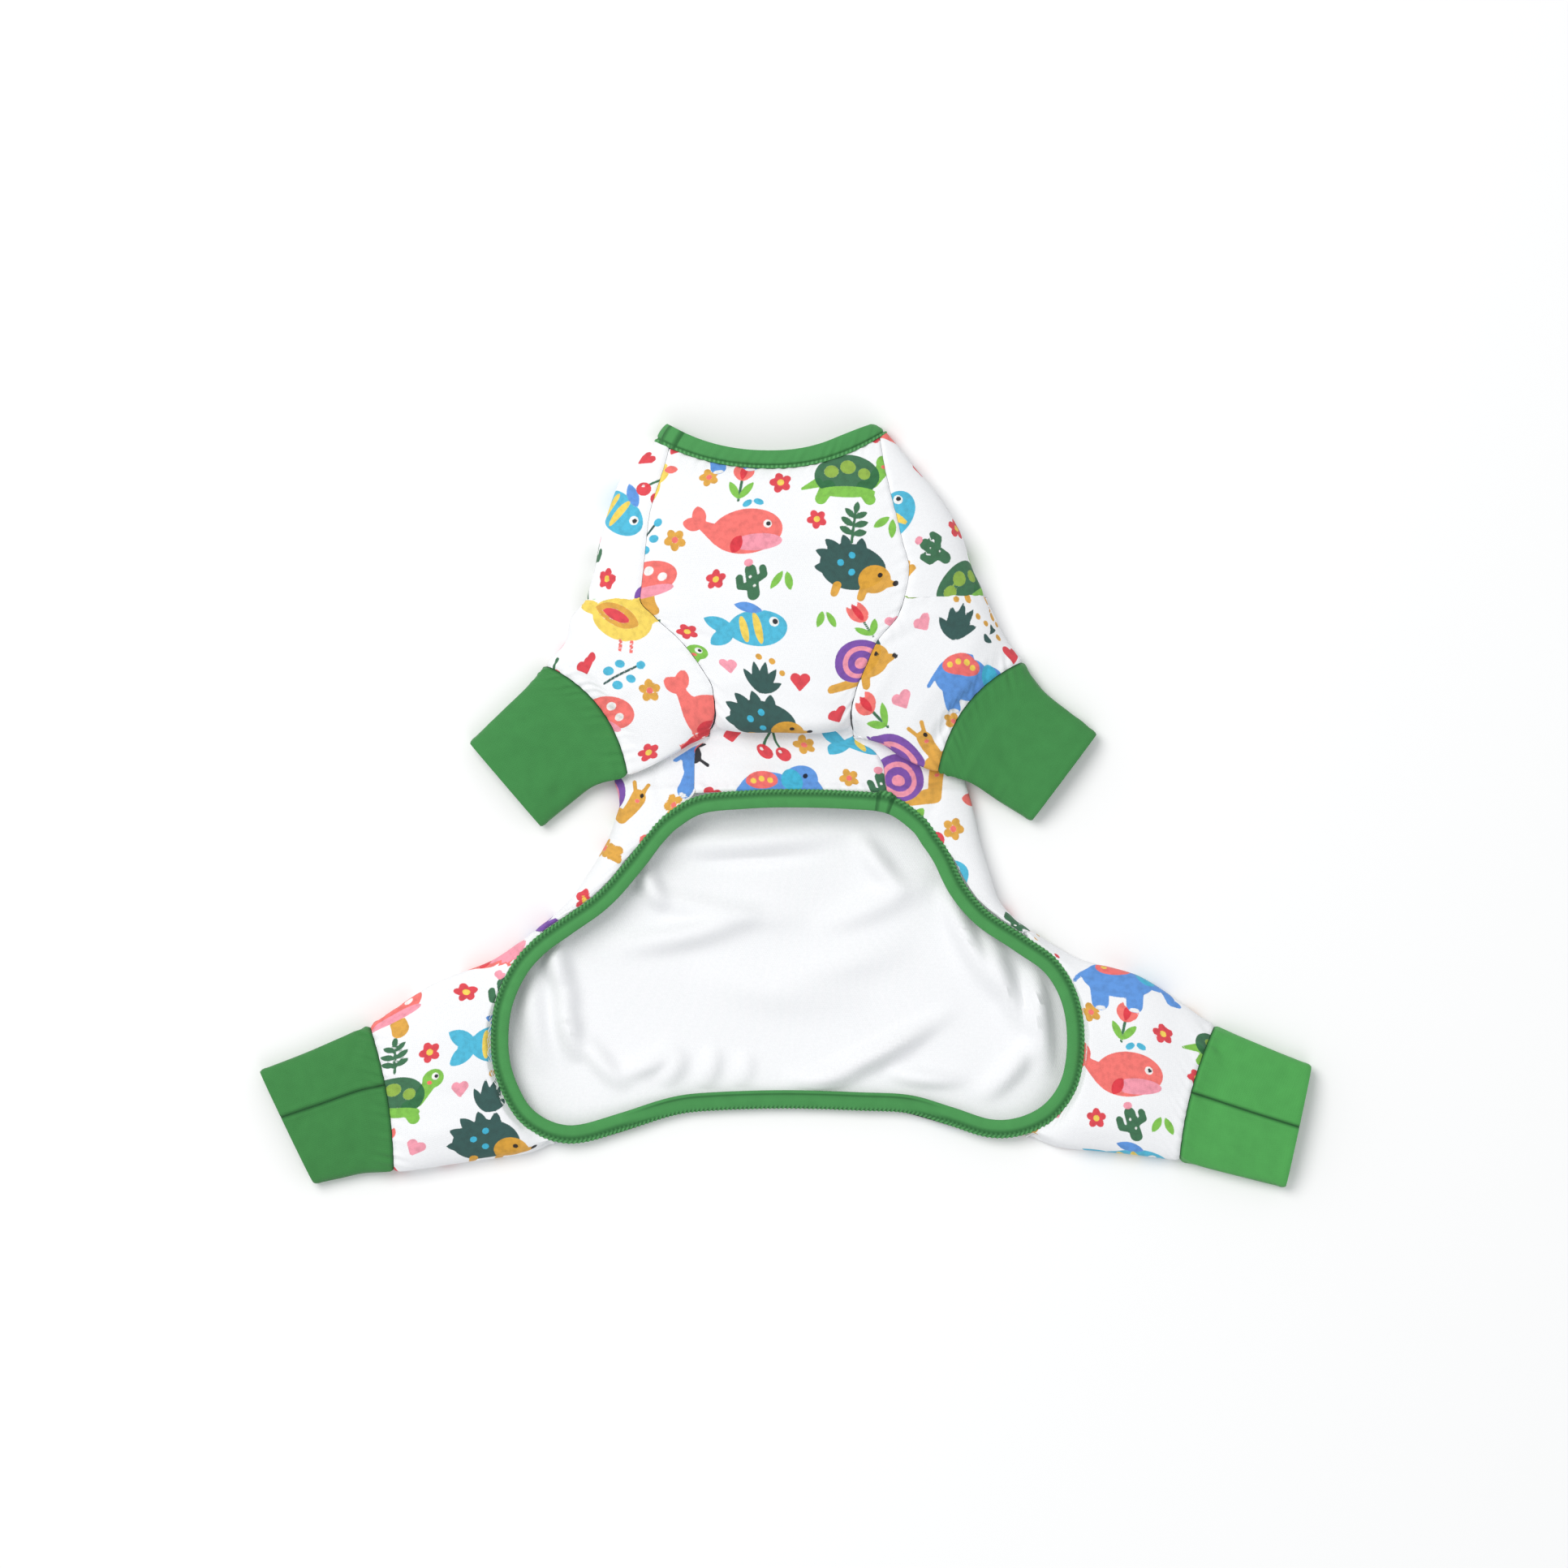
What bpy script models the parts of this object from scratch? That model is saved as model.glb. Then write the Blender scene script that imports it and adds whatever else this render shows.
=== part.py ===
"""A small dog's jumpsuit, laid flat with its belly side up: trunk, two front sleeves and two hind legs
with ribbed cuffs, a neck band, and a band round the belly opening. All of it is sewn cloth, with no joints.
Metres, +Z up, neck towards +Y."""

import bpy
import numpy as np

# Main sizes
TRUNK_LENGTH = 0.338  # neck band's edge to rump, laid flat
CHEST_WIDTH = 0.1872  # widest part of the chest, laid flat
LOFT = 0.030  # how high the chest stands off the floor
FRONT_REACH = 0.0912  # front armhole to the end of the cuff
HIND_REACH = 0.1312  # hind leg seam to the end of the cuff
# Cloth
CLOTH = 0.0015  # jersey, with its folded seam allowances
RIB = 0.0022  # ribbed cuffs and neck band
BINDING_WIDTH = 0.0084  # band round the belly opening
BINDING_THICK = 0.0026
SEAM_GAP = 0.0005  # clearance between two sewn pieces
DRAPE_GAP = 0.0010  # clearance between a sleeve and the cloth that it lies on
# Edge details
RIM_OUT = 0.0019  # how far the rump's edge curls out beyond the floor cloth
RIM_UP = 0.0042
SIDE_POWER = 2.6  # how square the padded-looking sides are
CURVE_POWER = 2.2  # how square the neckline's curve is
RUMP_FLAT = 0.32  # the rump's edge is straight over this share of its half width
RUMP_RUN = 0.60  # and comes down to the leg's seam over this share
DRAPE_FALL = 0.014  # how far a sleeve takes to fall off the trunk's side
REST_POWER = 1.5  # how late a limb's underside leaves the line of its root

# Lines across the trunk, from the neck to the rump. The stations are shares of TRUNK_LENGTH, the places across
# are shares of CHEST_WIDTH, and the heights and the corner are shares of LOFT.
TRUNK_COLUMNS = (
    "left_station", "middle_station", "right_station", "left", "right", "left_edge", "right_edge",
    "left_crown", "right_crown", "crown", "side_height", "corner",
)
TRUNK = (
    (0.018, 0.058, 0.006, -0.342, 0.266, -0.306, 0.250, 0.000, 0.000, 0.567, 0.167, 0.200),
    (0.056, 0.080, 0.056, -0.419, 0.340, -0.325, 0.265, 0.000, 0.000, 0.733, 0.200, 0.267),
    (0.085, 0.109, 0.085, -0.444, 0.385, -0.342, 0.278, 0.000, 0.000, 0.833, 0.233, 0.300),
    (0.121, 0.136, 0.121, -0.466, 0.427, -0.357, 0.293, 0.000, 0.000, 0.933, 0.267, 0.333),
    (0.162, 0.169, 0.162, -0.485, 0.468, -0.365, 0.308, 0.000, 0.000, 1.000, 0.283, 0.367),
    (0.204, 0.206, 0.204, -0.500, 0.494, -0.372, 0.325, 0.000, 0.000, 1.000, 0.283, 0.367),
    (0.249, 0.249, 0.243, -0.521, 0.521, -0.380, 0.312, 0.000, 0.000, 1.000, 0.200, 0.300),
    (0.275, 0.275, 0.271, -0.502, 0.509, -0.342, 0.295, 0.000, 0.000, 1.000, 0.107, 0.233),
    (0.310, 0.310, 0.310, -0.487, 0.496, -0.274, 0.241, 0.000, 0.000, 1.000, 0.100, 0.200),
    (0.346, 0.346, 0.346, -0.472, 0.485, -0.224, 0.212, 0.000, 0.000, 0.967, 0.100, 0.200),
    (0.381, 0.381, 0.381, -0.462, 0.474, -0.190, 0.186, 0.000, 0.000, 0.917, 0.100, 0.200),
    (0.417, 0.417, 0.417, -0.451, 0.470, -0.203, 0.173, 0.000, 0.000, 0.800, 0.107, 0.200),
    (0.449, 0.449, 0.449, -0.447, 0.468, -0.226, 0.197, 0.000, 0.000, 0.400, 0.120, 0.233),
    (0.470, 0.470, 0.470, -0.449, 0.468, -0.237, 0.235, 0.000, 0.000, 0.350, 0.120, 0.233),
    (0.493, 0.493, 0.493, -0.451, 0.468, -0.239, 0.259, 0.000, 0.000, 0.350, 0.120, 0.233),
    (0.514, 0.514, 0.514, -0.449, 0.474, -0.239, 0.263, 0.000, 0.000, 0.417, 0.140, 0.233),
    (0.531, 0.522, 0.531, -0.440, 0.483, -0.241, 0.271, -0.017, 0.026, 0.533, 0.167, 0.233),
    (0.547, 0.547, 0.547, -0.436, 0.491, -0.278, 0.327, -0.145, 0.205, 0.547, 0.167, 0.233),
    (0.564, 0.564, 0.564, -0.444, 0.498, -0.321, 0.365, -0.252, 0.303, 0.543, 0.167, 0.233),
    (0.594, 0.594, 0.594, -0.462, 0.509, -0.372, 0.406, -0.359, 0.393, 0.537, 0.167, 0.233),
    (0.624, 0.624, 0.624, -0.491, 0.524, -0.415, 0.440, -0.415, 0.440, 0.533, 0.167, 0.233),
    (0.653, 0.653, 0.653, -0.526, 0.541, -0.457, 0.468, -0.457, 0.468, 0.527, 0.167, 0.233),
    (0.683, 0.683, 0.683, -0.564, 0.560, -0.513, 0.504, -0.513, 0.504, 0.517, 0.167, 0.233),
    (0.710, 0.710, 0.710, -0.611, 0.600, -0.581, 0.560, -0.581, 0.560, 0.507, 0.160, 0.200),
    (0.731, 0.731, 0.731, -0.656, 0.645, -0.637, 0.615, -0.637, 0.615, 0.500, 0.147, 0.167),
    (0.772, 0.772, 0.772, -0.701, 0.709, -0.714, 0.722, -0.714, 0.722, 0.480, 0.060, 0.167),
    (0.809, 0.809, 0.809, -0.741, 0.750, -0.754, 0.763, -0.754, 0.763, 0.473, 0.053, 0.167),
    (0.850, 0.850, 0.850, -0.763, 0.774, -0.776, 0.786, -0.776, 0.786, 0.467, 0.053, 0.167),
    (0.890, 0.890, 0.890, -0.771, 0.782, -0.784, 0.795, -0.784, 0.795, 0.453, 0.053, 0.167),
    (0.933, 0.925, 0.933, -0.763, 0.776, -0.776, 0.788, -0.776, 0.788, 0.430, 0.053, 0.167),
    (0.973, 0.953, 0.970, -0.733, 0.748, -0.748, 0.763, -0.748, 0.763, 0.373, 0.053, 0.167),
    (1.008, 0.973, 1.004, -0.688, 0.705, -0.703, 0.720, -0.703, 0.720, 0.313, 0.057, 0.167),
    (1.039, 0.992, 1.031, -0.603, 0.628, -0.618, 0.641, -0.618, 0.641, 0.233, 0.067, 0.167),
)
ARM_TOP, ARM_END, WAIST_END, LEG_TOP = 6, 12, 16, 24  # rows of TRUNK where the armholes and leg holes begin and end

# The chest cloth: rows of TRUNK, and how far its middle is pushed towards the rump (share of TRUNK_LENGTH) and
# lifted (share of LOFT), where it folds over the waist
CHEST_COLUMNS = ("row", "push", "lift")
CHEST = (
    (0, 0, 0), (1, 0, 0), (2, 0, 0), (3, 0, 0), (4, 0, 0), (5, 0, 0), (6, 0, 0), (7, 0, 0), (8, 0, 0),
    (9, 0, 0.01), (10, 0.001, 0.02), (10.5, 0.003, 0.05), (11, 0.009, 0.09), (11.25, 0.012, 0.05),
    (11.45, 0.009, 0), (11.6, -0.003, -0.053), (11.75, -0.010, -0.08), (11.9, -0.003, -0.067),
    (12.2, 0, -0.023), (12.6, 0, -0.013), (13, 0, 0), (14, 0, 0), (15, 0, 0), (16, 0, 0),
)

# Middle line of the band round the belly opening: across (share of CHEST_WIDTH), station (share of TRUNK_LENGTH),
# height of its upper side (share of LOFT)
BINDING = (
    (0.004, 0.538, 0.573),
    (-0.103, 0.540, 0.573),
    (-0.220, 0.547, 0.567),
    (-0.295, 0.570, 0.553),
    (-0.342, 0.596, 0.543),
    (-0.380, 0.624, 0.533),
    (-0.417, 0.649, 0.527),
    (-0.451, 0.671, 0.520),
    (-0.498, 0.695, 0.513),
    (-0.573, 0.724, 0.507),
    (-0.647, 0.754, 0.500),
    (-0.701, 0.789, 0.487),
    (-0.739, 0.837, 0.473),
    (-0.750, 0.890, 0.453),
    (-0.739, 0.937, 0.427),
    (-0.701, 0.985, 0.367),
    (-0.654, 1.011, 0.313),
    (-0.594, 1.025, 0.267),
    (-0.530, 1.025, 0.233),
    (-0.423, 1.008, 0.200),
    (-0.295, 0.986, 0.187),
    (-0.188, 0.979, 0.180),
    (0.004, 0.976, 0.180),
    (0.197, 0.979, 0.187),
    (0.325, 0.983, 0.193),
    (0.432, 1.000, 0.207),
    (0.538, 1.018, 0.240),
    (0.624, 1.014, 0.287),
    (0.699, 0.991, 0.347),
    (0.748, 0.949, 0.413),
    (0.763, 0.890, 0.453),
    (0.748, 0.831, 0.473),
    (0.699, 0.783, 0.490),
    (0.613, 0.748, 0.500),
    (0.517, 0.712, 0.510),
    (0.453, 0.671, 0.520),
    (0.410, 0.624, 0.533),
    (0.380, 0.599, 0.543),
    (0.346, 0.574, 0.553),
    (0.271, 0.547, 0.567),
    (0.154, 0.540, 0.573),
)

# Lines across each limb, from the trunk to the cuff's end. upper_ and lower_ are the two outline points of the
# line, measured from the root's points as shares of the limb's reach (across outwards, down towards the rump).
# bow is how far the line's middle stands back, also a share of the reach. top and side_height are shares of LOFT.
# The cuff's seam is at the line number CUFF_LINE.
LIMB_COLUMNS = ("upper_out", "upper_down", "lower_out", "lower_down", "bow", "top", "side_height")
CUFF_LINE = 3
FRONT_LEFT = (
    (0.000, 0.000, 0.000, 0.000, 0.000, 0.800, 0.100),
    (-0.092, 0.105, -0.079, 0.061, 0.000, 0.767, 0.133),
    (-0.110, 0.202, -0.202, 0.132, 0.000, 0.667, 0.150),
    (-0.224, 0.342, -0.399, 0.224, 0.096, 0.483, 0.167),
    (-0.316, 0.452, -0.570, 0.272, 0.053, 0.417, 0.167),
    (-0.482, 0.614, -0.728, 0.386, 0.018, 0.400, 0.167),
    (-0.636, 0.763, -0.868, 0.500, 0.000, 0.400, 0.173),
)
FRONT_RIGHT = (
    (0.000, 0.000, 0.000, 0.000, 0.000, 0.800, 0.100),
    (0.061, 0.101, 0.162, 0.048, 0.000, 0.767, 0.133),
    (0.105, 0.197, 0.276, 0.123, 0.000, 0.667, 0.150),
    (0.211, 0.346, 0.465, 0.202, 0.096, 0.483, 0.167),
    (0.316, 0.496, 0.627, 0.250, 0.053, 0.417, 0.167),
    (0.474, 0.627, 0.803, 0.360, 0.018, 0.400, 0.167),
    (0.614, 0.737, 0.974, 0.465, 0.000, 0.400, 0.173),
)
HIND_LEFT = (
    (0.000, 0.000, 0.000, 0.000, 0.000, 0.500, 0.100),
    (-0.152, 0.079, -0.116, 0.024, -0.082, 0.583, 0.150),
    (-0.341, 0.152, -0.345, 0.064, -0.030, 0.600, 0.167),
    (-0.595, 0.314, -0.598, 0.098, 0.024, 0.500, 0.167),
    (-0.659, 0.341, -0.695, 0.101, 0.015, 0.433, 0.167),
    (-0.829, 0.415, -0.802, 0.122, 0.006, 0.417, 0.167),
    (-1.009, 0.485, -0.899, 0.143, 0.000, 0.417, 0.173),
)
HIND_RIGHT = (
    (0.000, 0.000, 0.000, 0.000, 0.000, 0.500, 0.100),
    (0.140, 0.076, 0.137, 0.024, -0.088, 0.583, 0.150),
    (0.348, 0.134, 0.366, 0.055, -0.030, 0.600, 0.167),
    (0.646, 0.326, 0.570, 0.082, 0.024, 0.500, 0.167),
    (0.720, 0.357, 0.655, 0.104, 0.015, 0.433, 0.167),
    (0.866, 0.418, 0.808, 0.143, 0.006, 0.417, 0.167),
    (1.012, 0.476, 0.970, 0.183, 0.000, 0.417, 0.173),
)
# Root points of each limb: upper across, upper station, lower across, lower station
ROOTS = {
    "front_left": (-0.521, 0.251, -0.218, 0.445),
    "front_right": (0.521, 0.245, 0.173, 0.446),
    "hind_left": (-0.675, 0.746, -0.609, 1.044),
    "hind_right": (0.675, 0.742, 0.635, 1.034),
}

# Soft folds of the floor cloth: across (share of CHEST_WIDTH), station (share of TRUNK_LENGTH), angle in degrees,
# length (share of TRUNK_LENGTH), height (share of LOFT), width (share of TRUNK_LENGTH)
FOLDS = (
    (-0.135, 0.599, 4, 0.308, 0.073, 0.031),
    (-0.359, 0.665, -62, 0.071, 0.080, 0.017),
    (-0.261, 0.736, 12, 0.178, 0.060, 0.031),
    (-0.547, 0.878, -78, 0.201, 0.080, 0.019),
    (-0.321, 0.949, 25, 0.083, 0.053, 0.014),
    (0.543, 0.778, -66, 0.166, 0.073, 0.018),
    (0.628, 0.869, -84, 0.201, 0.067, 0.018),
    (0.218, 0.921, 26, 0.178, 0.060, 0.026),
    (0.368, 0.959, -6, 0.107, 0.053, 0.014),
    (-0.017, 0.819, -8, 0.225, 0.040, 0.047),
)


def columns(names, rows):
    return dict(zip(names, np.array(rows, float).T))


TRUNK_TABLE = columns(TRUNK_COLUMNS, TRUNK)
TOP_Y = TRUNK_LENGTH / 2


def at_row(row):
    """The trunk's sizes in metres at a row number, which can lie between two rows of the table."""
    rows = np.arange(len(TRUNK))
    found = {name: np.interp(row, rows, values) for name, values in TRUNK_TABLE.items()}
    for name in ("left", "right", "left_edge", "right_edge", "left_crown", "right_crown"):
        found[name] = found[name] * CHEST_WIDTH
    for name in ("crown", "side_height", "corner"):
        found[name] = found[name] * LOFT
    for name in ("left_station", "middle_station", "right_station"):
        found[name] = TOP_Y - found[name] * TRUNK_LENGTH
    found["row"] = row
    return found


def line_y(t, x):
    """The y of a trunk line at x: straight in the middle of the body, curved at the neck and at the rump."""
    middle = (t["left"] + t["right"]) / 2
    half = (t["right"] - t["left"]) / 2
    s = (x - middle) / half
    side = np.where(s < 0, t["left_station"], t["right_station"])
    s = np.minimum(np.abs(s), 1)
    if t["row"] > LEG_TOP:
        s = np.clip((s - RUMP_FLAT) / RUMP_RUN, 0, 1)
        return side + (t["middle_station"] - side) * (1 - s * s * (3 - 2 * s))
    return side + (t["middle_station"] - side) * (1 - s**CURVE_POWER)


def top_point(t, side, u):
    """A point of the upper cloth: u is 0 at the seam's edge and 1 at the trunk's side. side is left or right."""
    out, edge, crown = t[side], t[side + "_edge"], t[side + "_crown"]
    start = np.clip((edge - crown) / (out - crown), 0, 1)
    first = np.arcsin(start ** (SIDE_POWER / 2))
    angle = first + (np.pi / 2 - first) * u
    x = crown + (out - crown) * np.sin(angle) ** (2 / SIDE_POWER)
    z = t["side_height"] + (t["crown"] - t["side_height"]) * np.cos(angle) ** (2 / SIDE_POWER)
    return np.array([x, line_y(t, x), z])


def crown_height(t, x):
    """Height of the upper cloth's outside at x."""
    side = "left" if x < (t["left"] + t["right"]) / 2 else "right"
    s = np.clip((x - t[side + "_crown"]) / (t[side] - t[side + "_crown"]), 0, 1)
    return t["side_height"] + (t["crown"] - t["side_height"]) * (1 - s**SIDE_POWER) ** (1 / SIDE_POWER)


def corner_point(t, side, u):
    """A point of the rounded lower edge: u is 0 at the trunk's side and 1 on the floor."""
    inwards = 1 if side == "left" else -1
    x = t[side] + inwards * t["corner"] * (1 - np.cos(u * np.pi / 2))
    return np.array([x, line_y(t, x), t["side_height"] * (1 - np.sin(u * np.pi / 2))])


def fold_height(x, y):
    height = 0.0
    for across, station, angle, length, rise, width in FOLDS:
        dx = x - across * CHEST_WIDTH
        dy = y - (TOP_Y - station * TRUNK_LENGTH)
        turn = np.radians(angle)
        along = (dx * np.cos(turn) + dy * np.sin(turn)) / (length * TRUNK_LENGTH / 2)
        off = (dy * np.cos(turn) - dx * np.sin(turn)) / (width * TRUNK_LENGTH / 2)
        height += rise * LOFT * np.exp(-(off**2)) * np.clip(1 - along**2, 0, 1)
    return height


def object_of(name, points, faces, colour, thickness):
    mesh = bpy.data.meshes.new(name)
    mesh.from_pydata([tuple(map(float, p)) for p in points], [], faces)
    mesh.update()
    obj = bpy.data.objects.new(name, mesh)
    bpy.context.scene.collection.objects.link(obj)
    material = bpy.data.materials.new(name)
    material.use_nodes = True
    shader = material.node_tree.nodes["Principled BSDF"]
    shader.inputs["Base Color"].default_value = (*colour, 1)
    shader.inputs["Roughness"].default_value = 0.9
    mesh.materials.append(material)
    if thickness:
        wall = obj.modifiers.new("wall", "SOLIDIFY")
        wall.thickness = thickness
        wall.offset = -1
        wall.thickness_clamp = 0
    return obj


def sheet(name, grid, colour, thickness, keep=None):
    """Cloth from a grid of points. keep says which of its squares exist."""
    rows, cols = len(grid), len(grid[0])
    faces = []
    for i in range(rows - 1):
        for j in range(cols - 1):
            if keep is None or keep(i, j):
                a = i * cols + j
                faces.append((a, a + 1, a + cols + 1, a + cols))
    used = sorted({v for face in faces for v in face})
    new = {v: k for k, v in enumerate(used)}
    points = [p for line in grid for p in line]
    return object_of(name, [points[v] for v in used], [[new[v] for v in f] for f in faces], colour, thickness)


def tube(name, rings, colour, thickness, square_first=False, square_last=False):
    """Cloth from closed rings of points, open at both ends, given by its outside. Its thickness goes inwards.
    A square end has its wall in the ring's own plane, so that the next piece's wall meets it face to face."""
    outer = np.array([[p for p in ring] for ring in rings])
    along = np.empty_like(outer)
    along[1:-1] = outer[2:] - outer[:-2]
    along[0] = outer[1] - outer[0]
    along[-1] = outer[-1] - outer[-2]
    for square, end in ((square_first, 0), (square_last, -1)):
        if square:
            chord = outer[end][TOP_COUNT] - outer[end][0]
            along[end] = np.array([chord[1], -chord[0], 0]) * np.sign(
                np.dot([chord[1], -chord[0], 0], along[end].mean(axis=0))
            )
    along = along + along.mean(axis=1, keepdims=True)
    around = np.roll(outer, -1, axis=1) - np.roll(outer, 1, axis=1)
    normal = np.cross(around, along)
    normal /= np.linalg.norm(normal, axis=2, keepdims=True)
    outwards = ((outer - outer.mean(axis=1, keepdims=True)) * normal).sum()
    normal *= np.sign(outwards)
    inner = outer - normal * thickness
    count, last = outer.shape[1], len(outer) - 1
    base = outer.shape[0] * count
    faces = []
    for j in range(count):
        k = (j + 1) % count
        for i in range(last):
            a, b, c, d = i * count + j, i * count + k, (i + 1) * count + k, (i + 1) * count + j
            faces.append((a, b, c, d))
            faces.append((base + d, base + c, base + b, base + a))
        faces.append((base + j, base + k, k, j))
        faces.append((last * count + j, last * count + k, base + last * count + k, base + last * count + j))
    if outwards < 0:
        faces = [face[::-1] for face in faces]
    return object_of(name, [*outer.reshape(-1, 3), *inner.reshape(-1, 3)], faces, colour, 0)


def resample(path, count, ends=0.0):
    """count + 1 points along a path, at even steps, or closer together towards its ends."""
    path = np.array(path, float)
    run = np.concatenate([[0], np.cumsum(np.linalg.norm(np.diff(path, axis=0), axis=1))])
    u = np.linspace(0, 1, count + 1)
    u = (1 - ends) * u + ends * (1 - np.cos(np.pi * u)) / 2
    return np.stack([np.interp(u * run[-1], run, path[:, k]) for k in range(3)], axis=1)


# Back cloth
FLAT_STEPS, CORNER_STEPS, TOP_STEPS = 20, 2, 4
SIDE_COLUMN = TOP_STEPS
LAST_COLUMN = 2 * (TOP_STEPS + CORNER_STEPS) + FLAT_STEPS


def back_line(row):
    t = at_row(row)
    if row > ARM_TOP - 0.01:
        for side, out in (("left", -1), ("right", 1)):
            t[side + "_edge"] += out * SEAM_GAP / 2
    else:
        t["left_edge"] -= SEAM_GAP / 2
        t["right_edge"] += SEAM_GAP / 2
    if row > LEG_TOP:
        t["left_edge"], t["right_edge"] = t["left"], t["right"]
    line = [top_point(t, "left", u) for u in np.arange(TOP_STEPS) / TOP_STEPS]
    line += [corner_point(t, "left", u) for u in np.arange(CORNER_STEPS) / CORNER_STEPS]
    for x in np.linspace(t["left"] + t["corner"], t["right"] - t["corner"], FLAT_STEPS + 1):
        y = line_y(t, x)
        line.append(np.array([x, y, fold_height(x, y)]))
    line += [corner_point(t, "right", u) for u in np.arange(CORNER_STEPS)[::-1] / CORNER_STEPS]
    line += [top_point(t, "right", u) for u in np.arange(TOP_STEPS)[::-1] / TOP_STEPS]
    return line


def back_exists(i, j):
    in_top = j < SIDE_COLUMN or j >= LAST_COLUMN - SIDE_COLUMN
    return not in_top or not (ARM_TOP <= i < ARM_END or i >= LEG_TOP)


def back_panel():
    grid = [back_line(row) for row in range(len(TRUNK))]
    last = grid[-1]
    for out, up in ((0.6, 0.12), (0.95, 0.5), (1.0, 1.0)):
        grid.append([p + np.array([0, -out * RIM_OUT, max(0, up * RIM_UP - p[2])]) for p in last])
    return sheet("back_panel", grid, WHITE, CLOTH, back_exists)


# Chest cloth
CHEST_STEPS = 14


def chest_panel():
    grid = []
    for row, push, lift in CHEST:
        t = at_row(row)
        left = t["left_edge"] + SEAM_GAP
        right = t["right_edge"] - SEAM_GAP
        line = []
        for u in np.linspace(-1, 1, CHEST_STEPS + 1):
            x = (left + right) / 2 + (right - left) / 2 * u
            full = 1 - abs(u) ** 2.5
            y = line_y(t, x) - push * TRUNK_LENGTH * full
            line.append(np.array([x, y, crown_height(t, x) + lift * LOFT * full]))
        grid.append(line[::-1])
    return sheet("chest_panel", grid, WHITE, CLOTH)


# Limbs
TOP_COUNT, UNDER_COUNT = 16, 12


def trunk_xy(across, station):
    return np.array([across * CHEST_WIDTH, TOP_Y - station * TRUNK_LENGTH])


def support(x, y):
    """Height of the trunk's cloth that a front sleeve lies on, at a place beside the waist."""
    rows = np.arange(ARM_END, WAIST_END + 1)
    stations = np.array([at_row(r)["left_station"] for r in rows])
    row = np.interp(-y, -stations, rows)
    t = at_row(row)
    side = "left" if x < 0 else "right"
    out = 1 if side == "right" else -1
    beyond = max(0.0, out * (x - t[side]))
    inside = t[side] - out * 0.003
    height = crown_height(t, x if out * (inside - x) > 0 else inside)
    height *= max(0.0, 1 - beyond / DRAPE_FALL)
    north = max(0.0, y - stations[0])
    height *= max(0.0, 1 - north / (2 * DRAPE_FALL))
    wall = (t["side_height"] + SEAM_GAP) * min(1.0, max(0.0, 1.15 - beyond / (DRAPE_FALL / 2)))
    return max(height, wall)


def limb_ends(table, root, reach, line):
    """The line's sizes, and its two outline points."""
    lines = np.arange(len(table))
    t = {name: np.interp(line, lines, values) for name, values in columns(LIMB_COLUMNS, table).items()}
    upper = trunk_xy(root[0], root[1]) + reach * np.array([t["upper_out"], -t["upper_down"]])
    lower = trunk_xy(root[2], root[3]) + reach * np.array([t["lower_out"], -t["lower_down"]])
    return t, upper, lower


def limb_line(table, root, reach, out, line, root_ring):
    """Closed ring of a limb at a line number of its table, which can lie between two lines."""
    t, upper, lower = limb_ends(table, root, reach, line)
    chord = lower - upper
    back = np.array([chord[1], -chord[0]]) / np.linalg.norm(chord)
    back = -back if back[0] * out > 0 else back
    front = root[1] < 0.5

    def under(p):
        return support(*p) + DRAPE_GAP if front and support(*p) > 0 else 0.0

    side = t["side_height"] * LOFT
    ends = (under(upper) + side, under(lower) + side)
    top = []
    for s in (1 - np.cos(np.linspace(0, np.pi, TOP_COUNT + 1))) / 2:
        p = upper + chord * s + back * t["bow"] * reach * 4 * s * (1 - s)
        base = ends[0] + (ends[1] - ends[0]) * s
        rise = max(0.0, 1 - abs(2 * s - 1) ** SIDE_POWER) ** (1 / SIDE_POWER)
        top.append(np.array([*p, base + (max(t["top"] * LOFT, base + CLOTH * 2.5) - base) * rise]))
    below = []
    width = np.linalg.norm(chord)
    # The underside keeps near the line of its root, and comes straight only at the cuff's seam
    rest = max(0.0, 1 - (line / CUFF_LINE) ** REST_POWER)
    first = np.array(root_ring[TOP_COUNT:] + root_ring[:1])[:, :2]
    for s, start in zip(np.linspace(1, 0, UNDER_COUNT + 1), first):
        p = upper + chord * s + back * (0 if front else t["bow"]) * reach * 4 * s * (1 - s)
        bulge = start - (first[-1] + (first[0] - first[-1]) * s)
        p = p + bulge * rest
        near = min(1.0, min(s, 1 - s) * width / 0.006)
        below.append(np.array([*p, under(p) + side * (1 - near) ** 2]))
    return top[:-1] + below[:-1]


def between(a, b, share):
    return [p + (q - p) * share for p, q in zip(a, b)]


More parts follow.
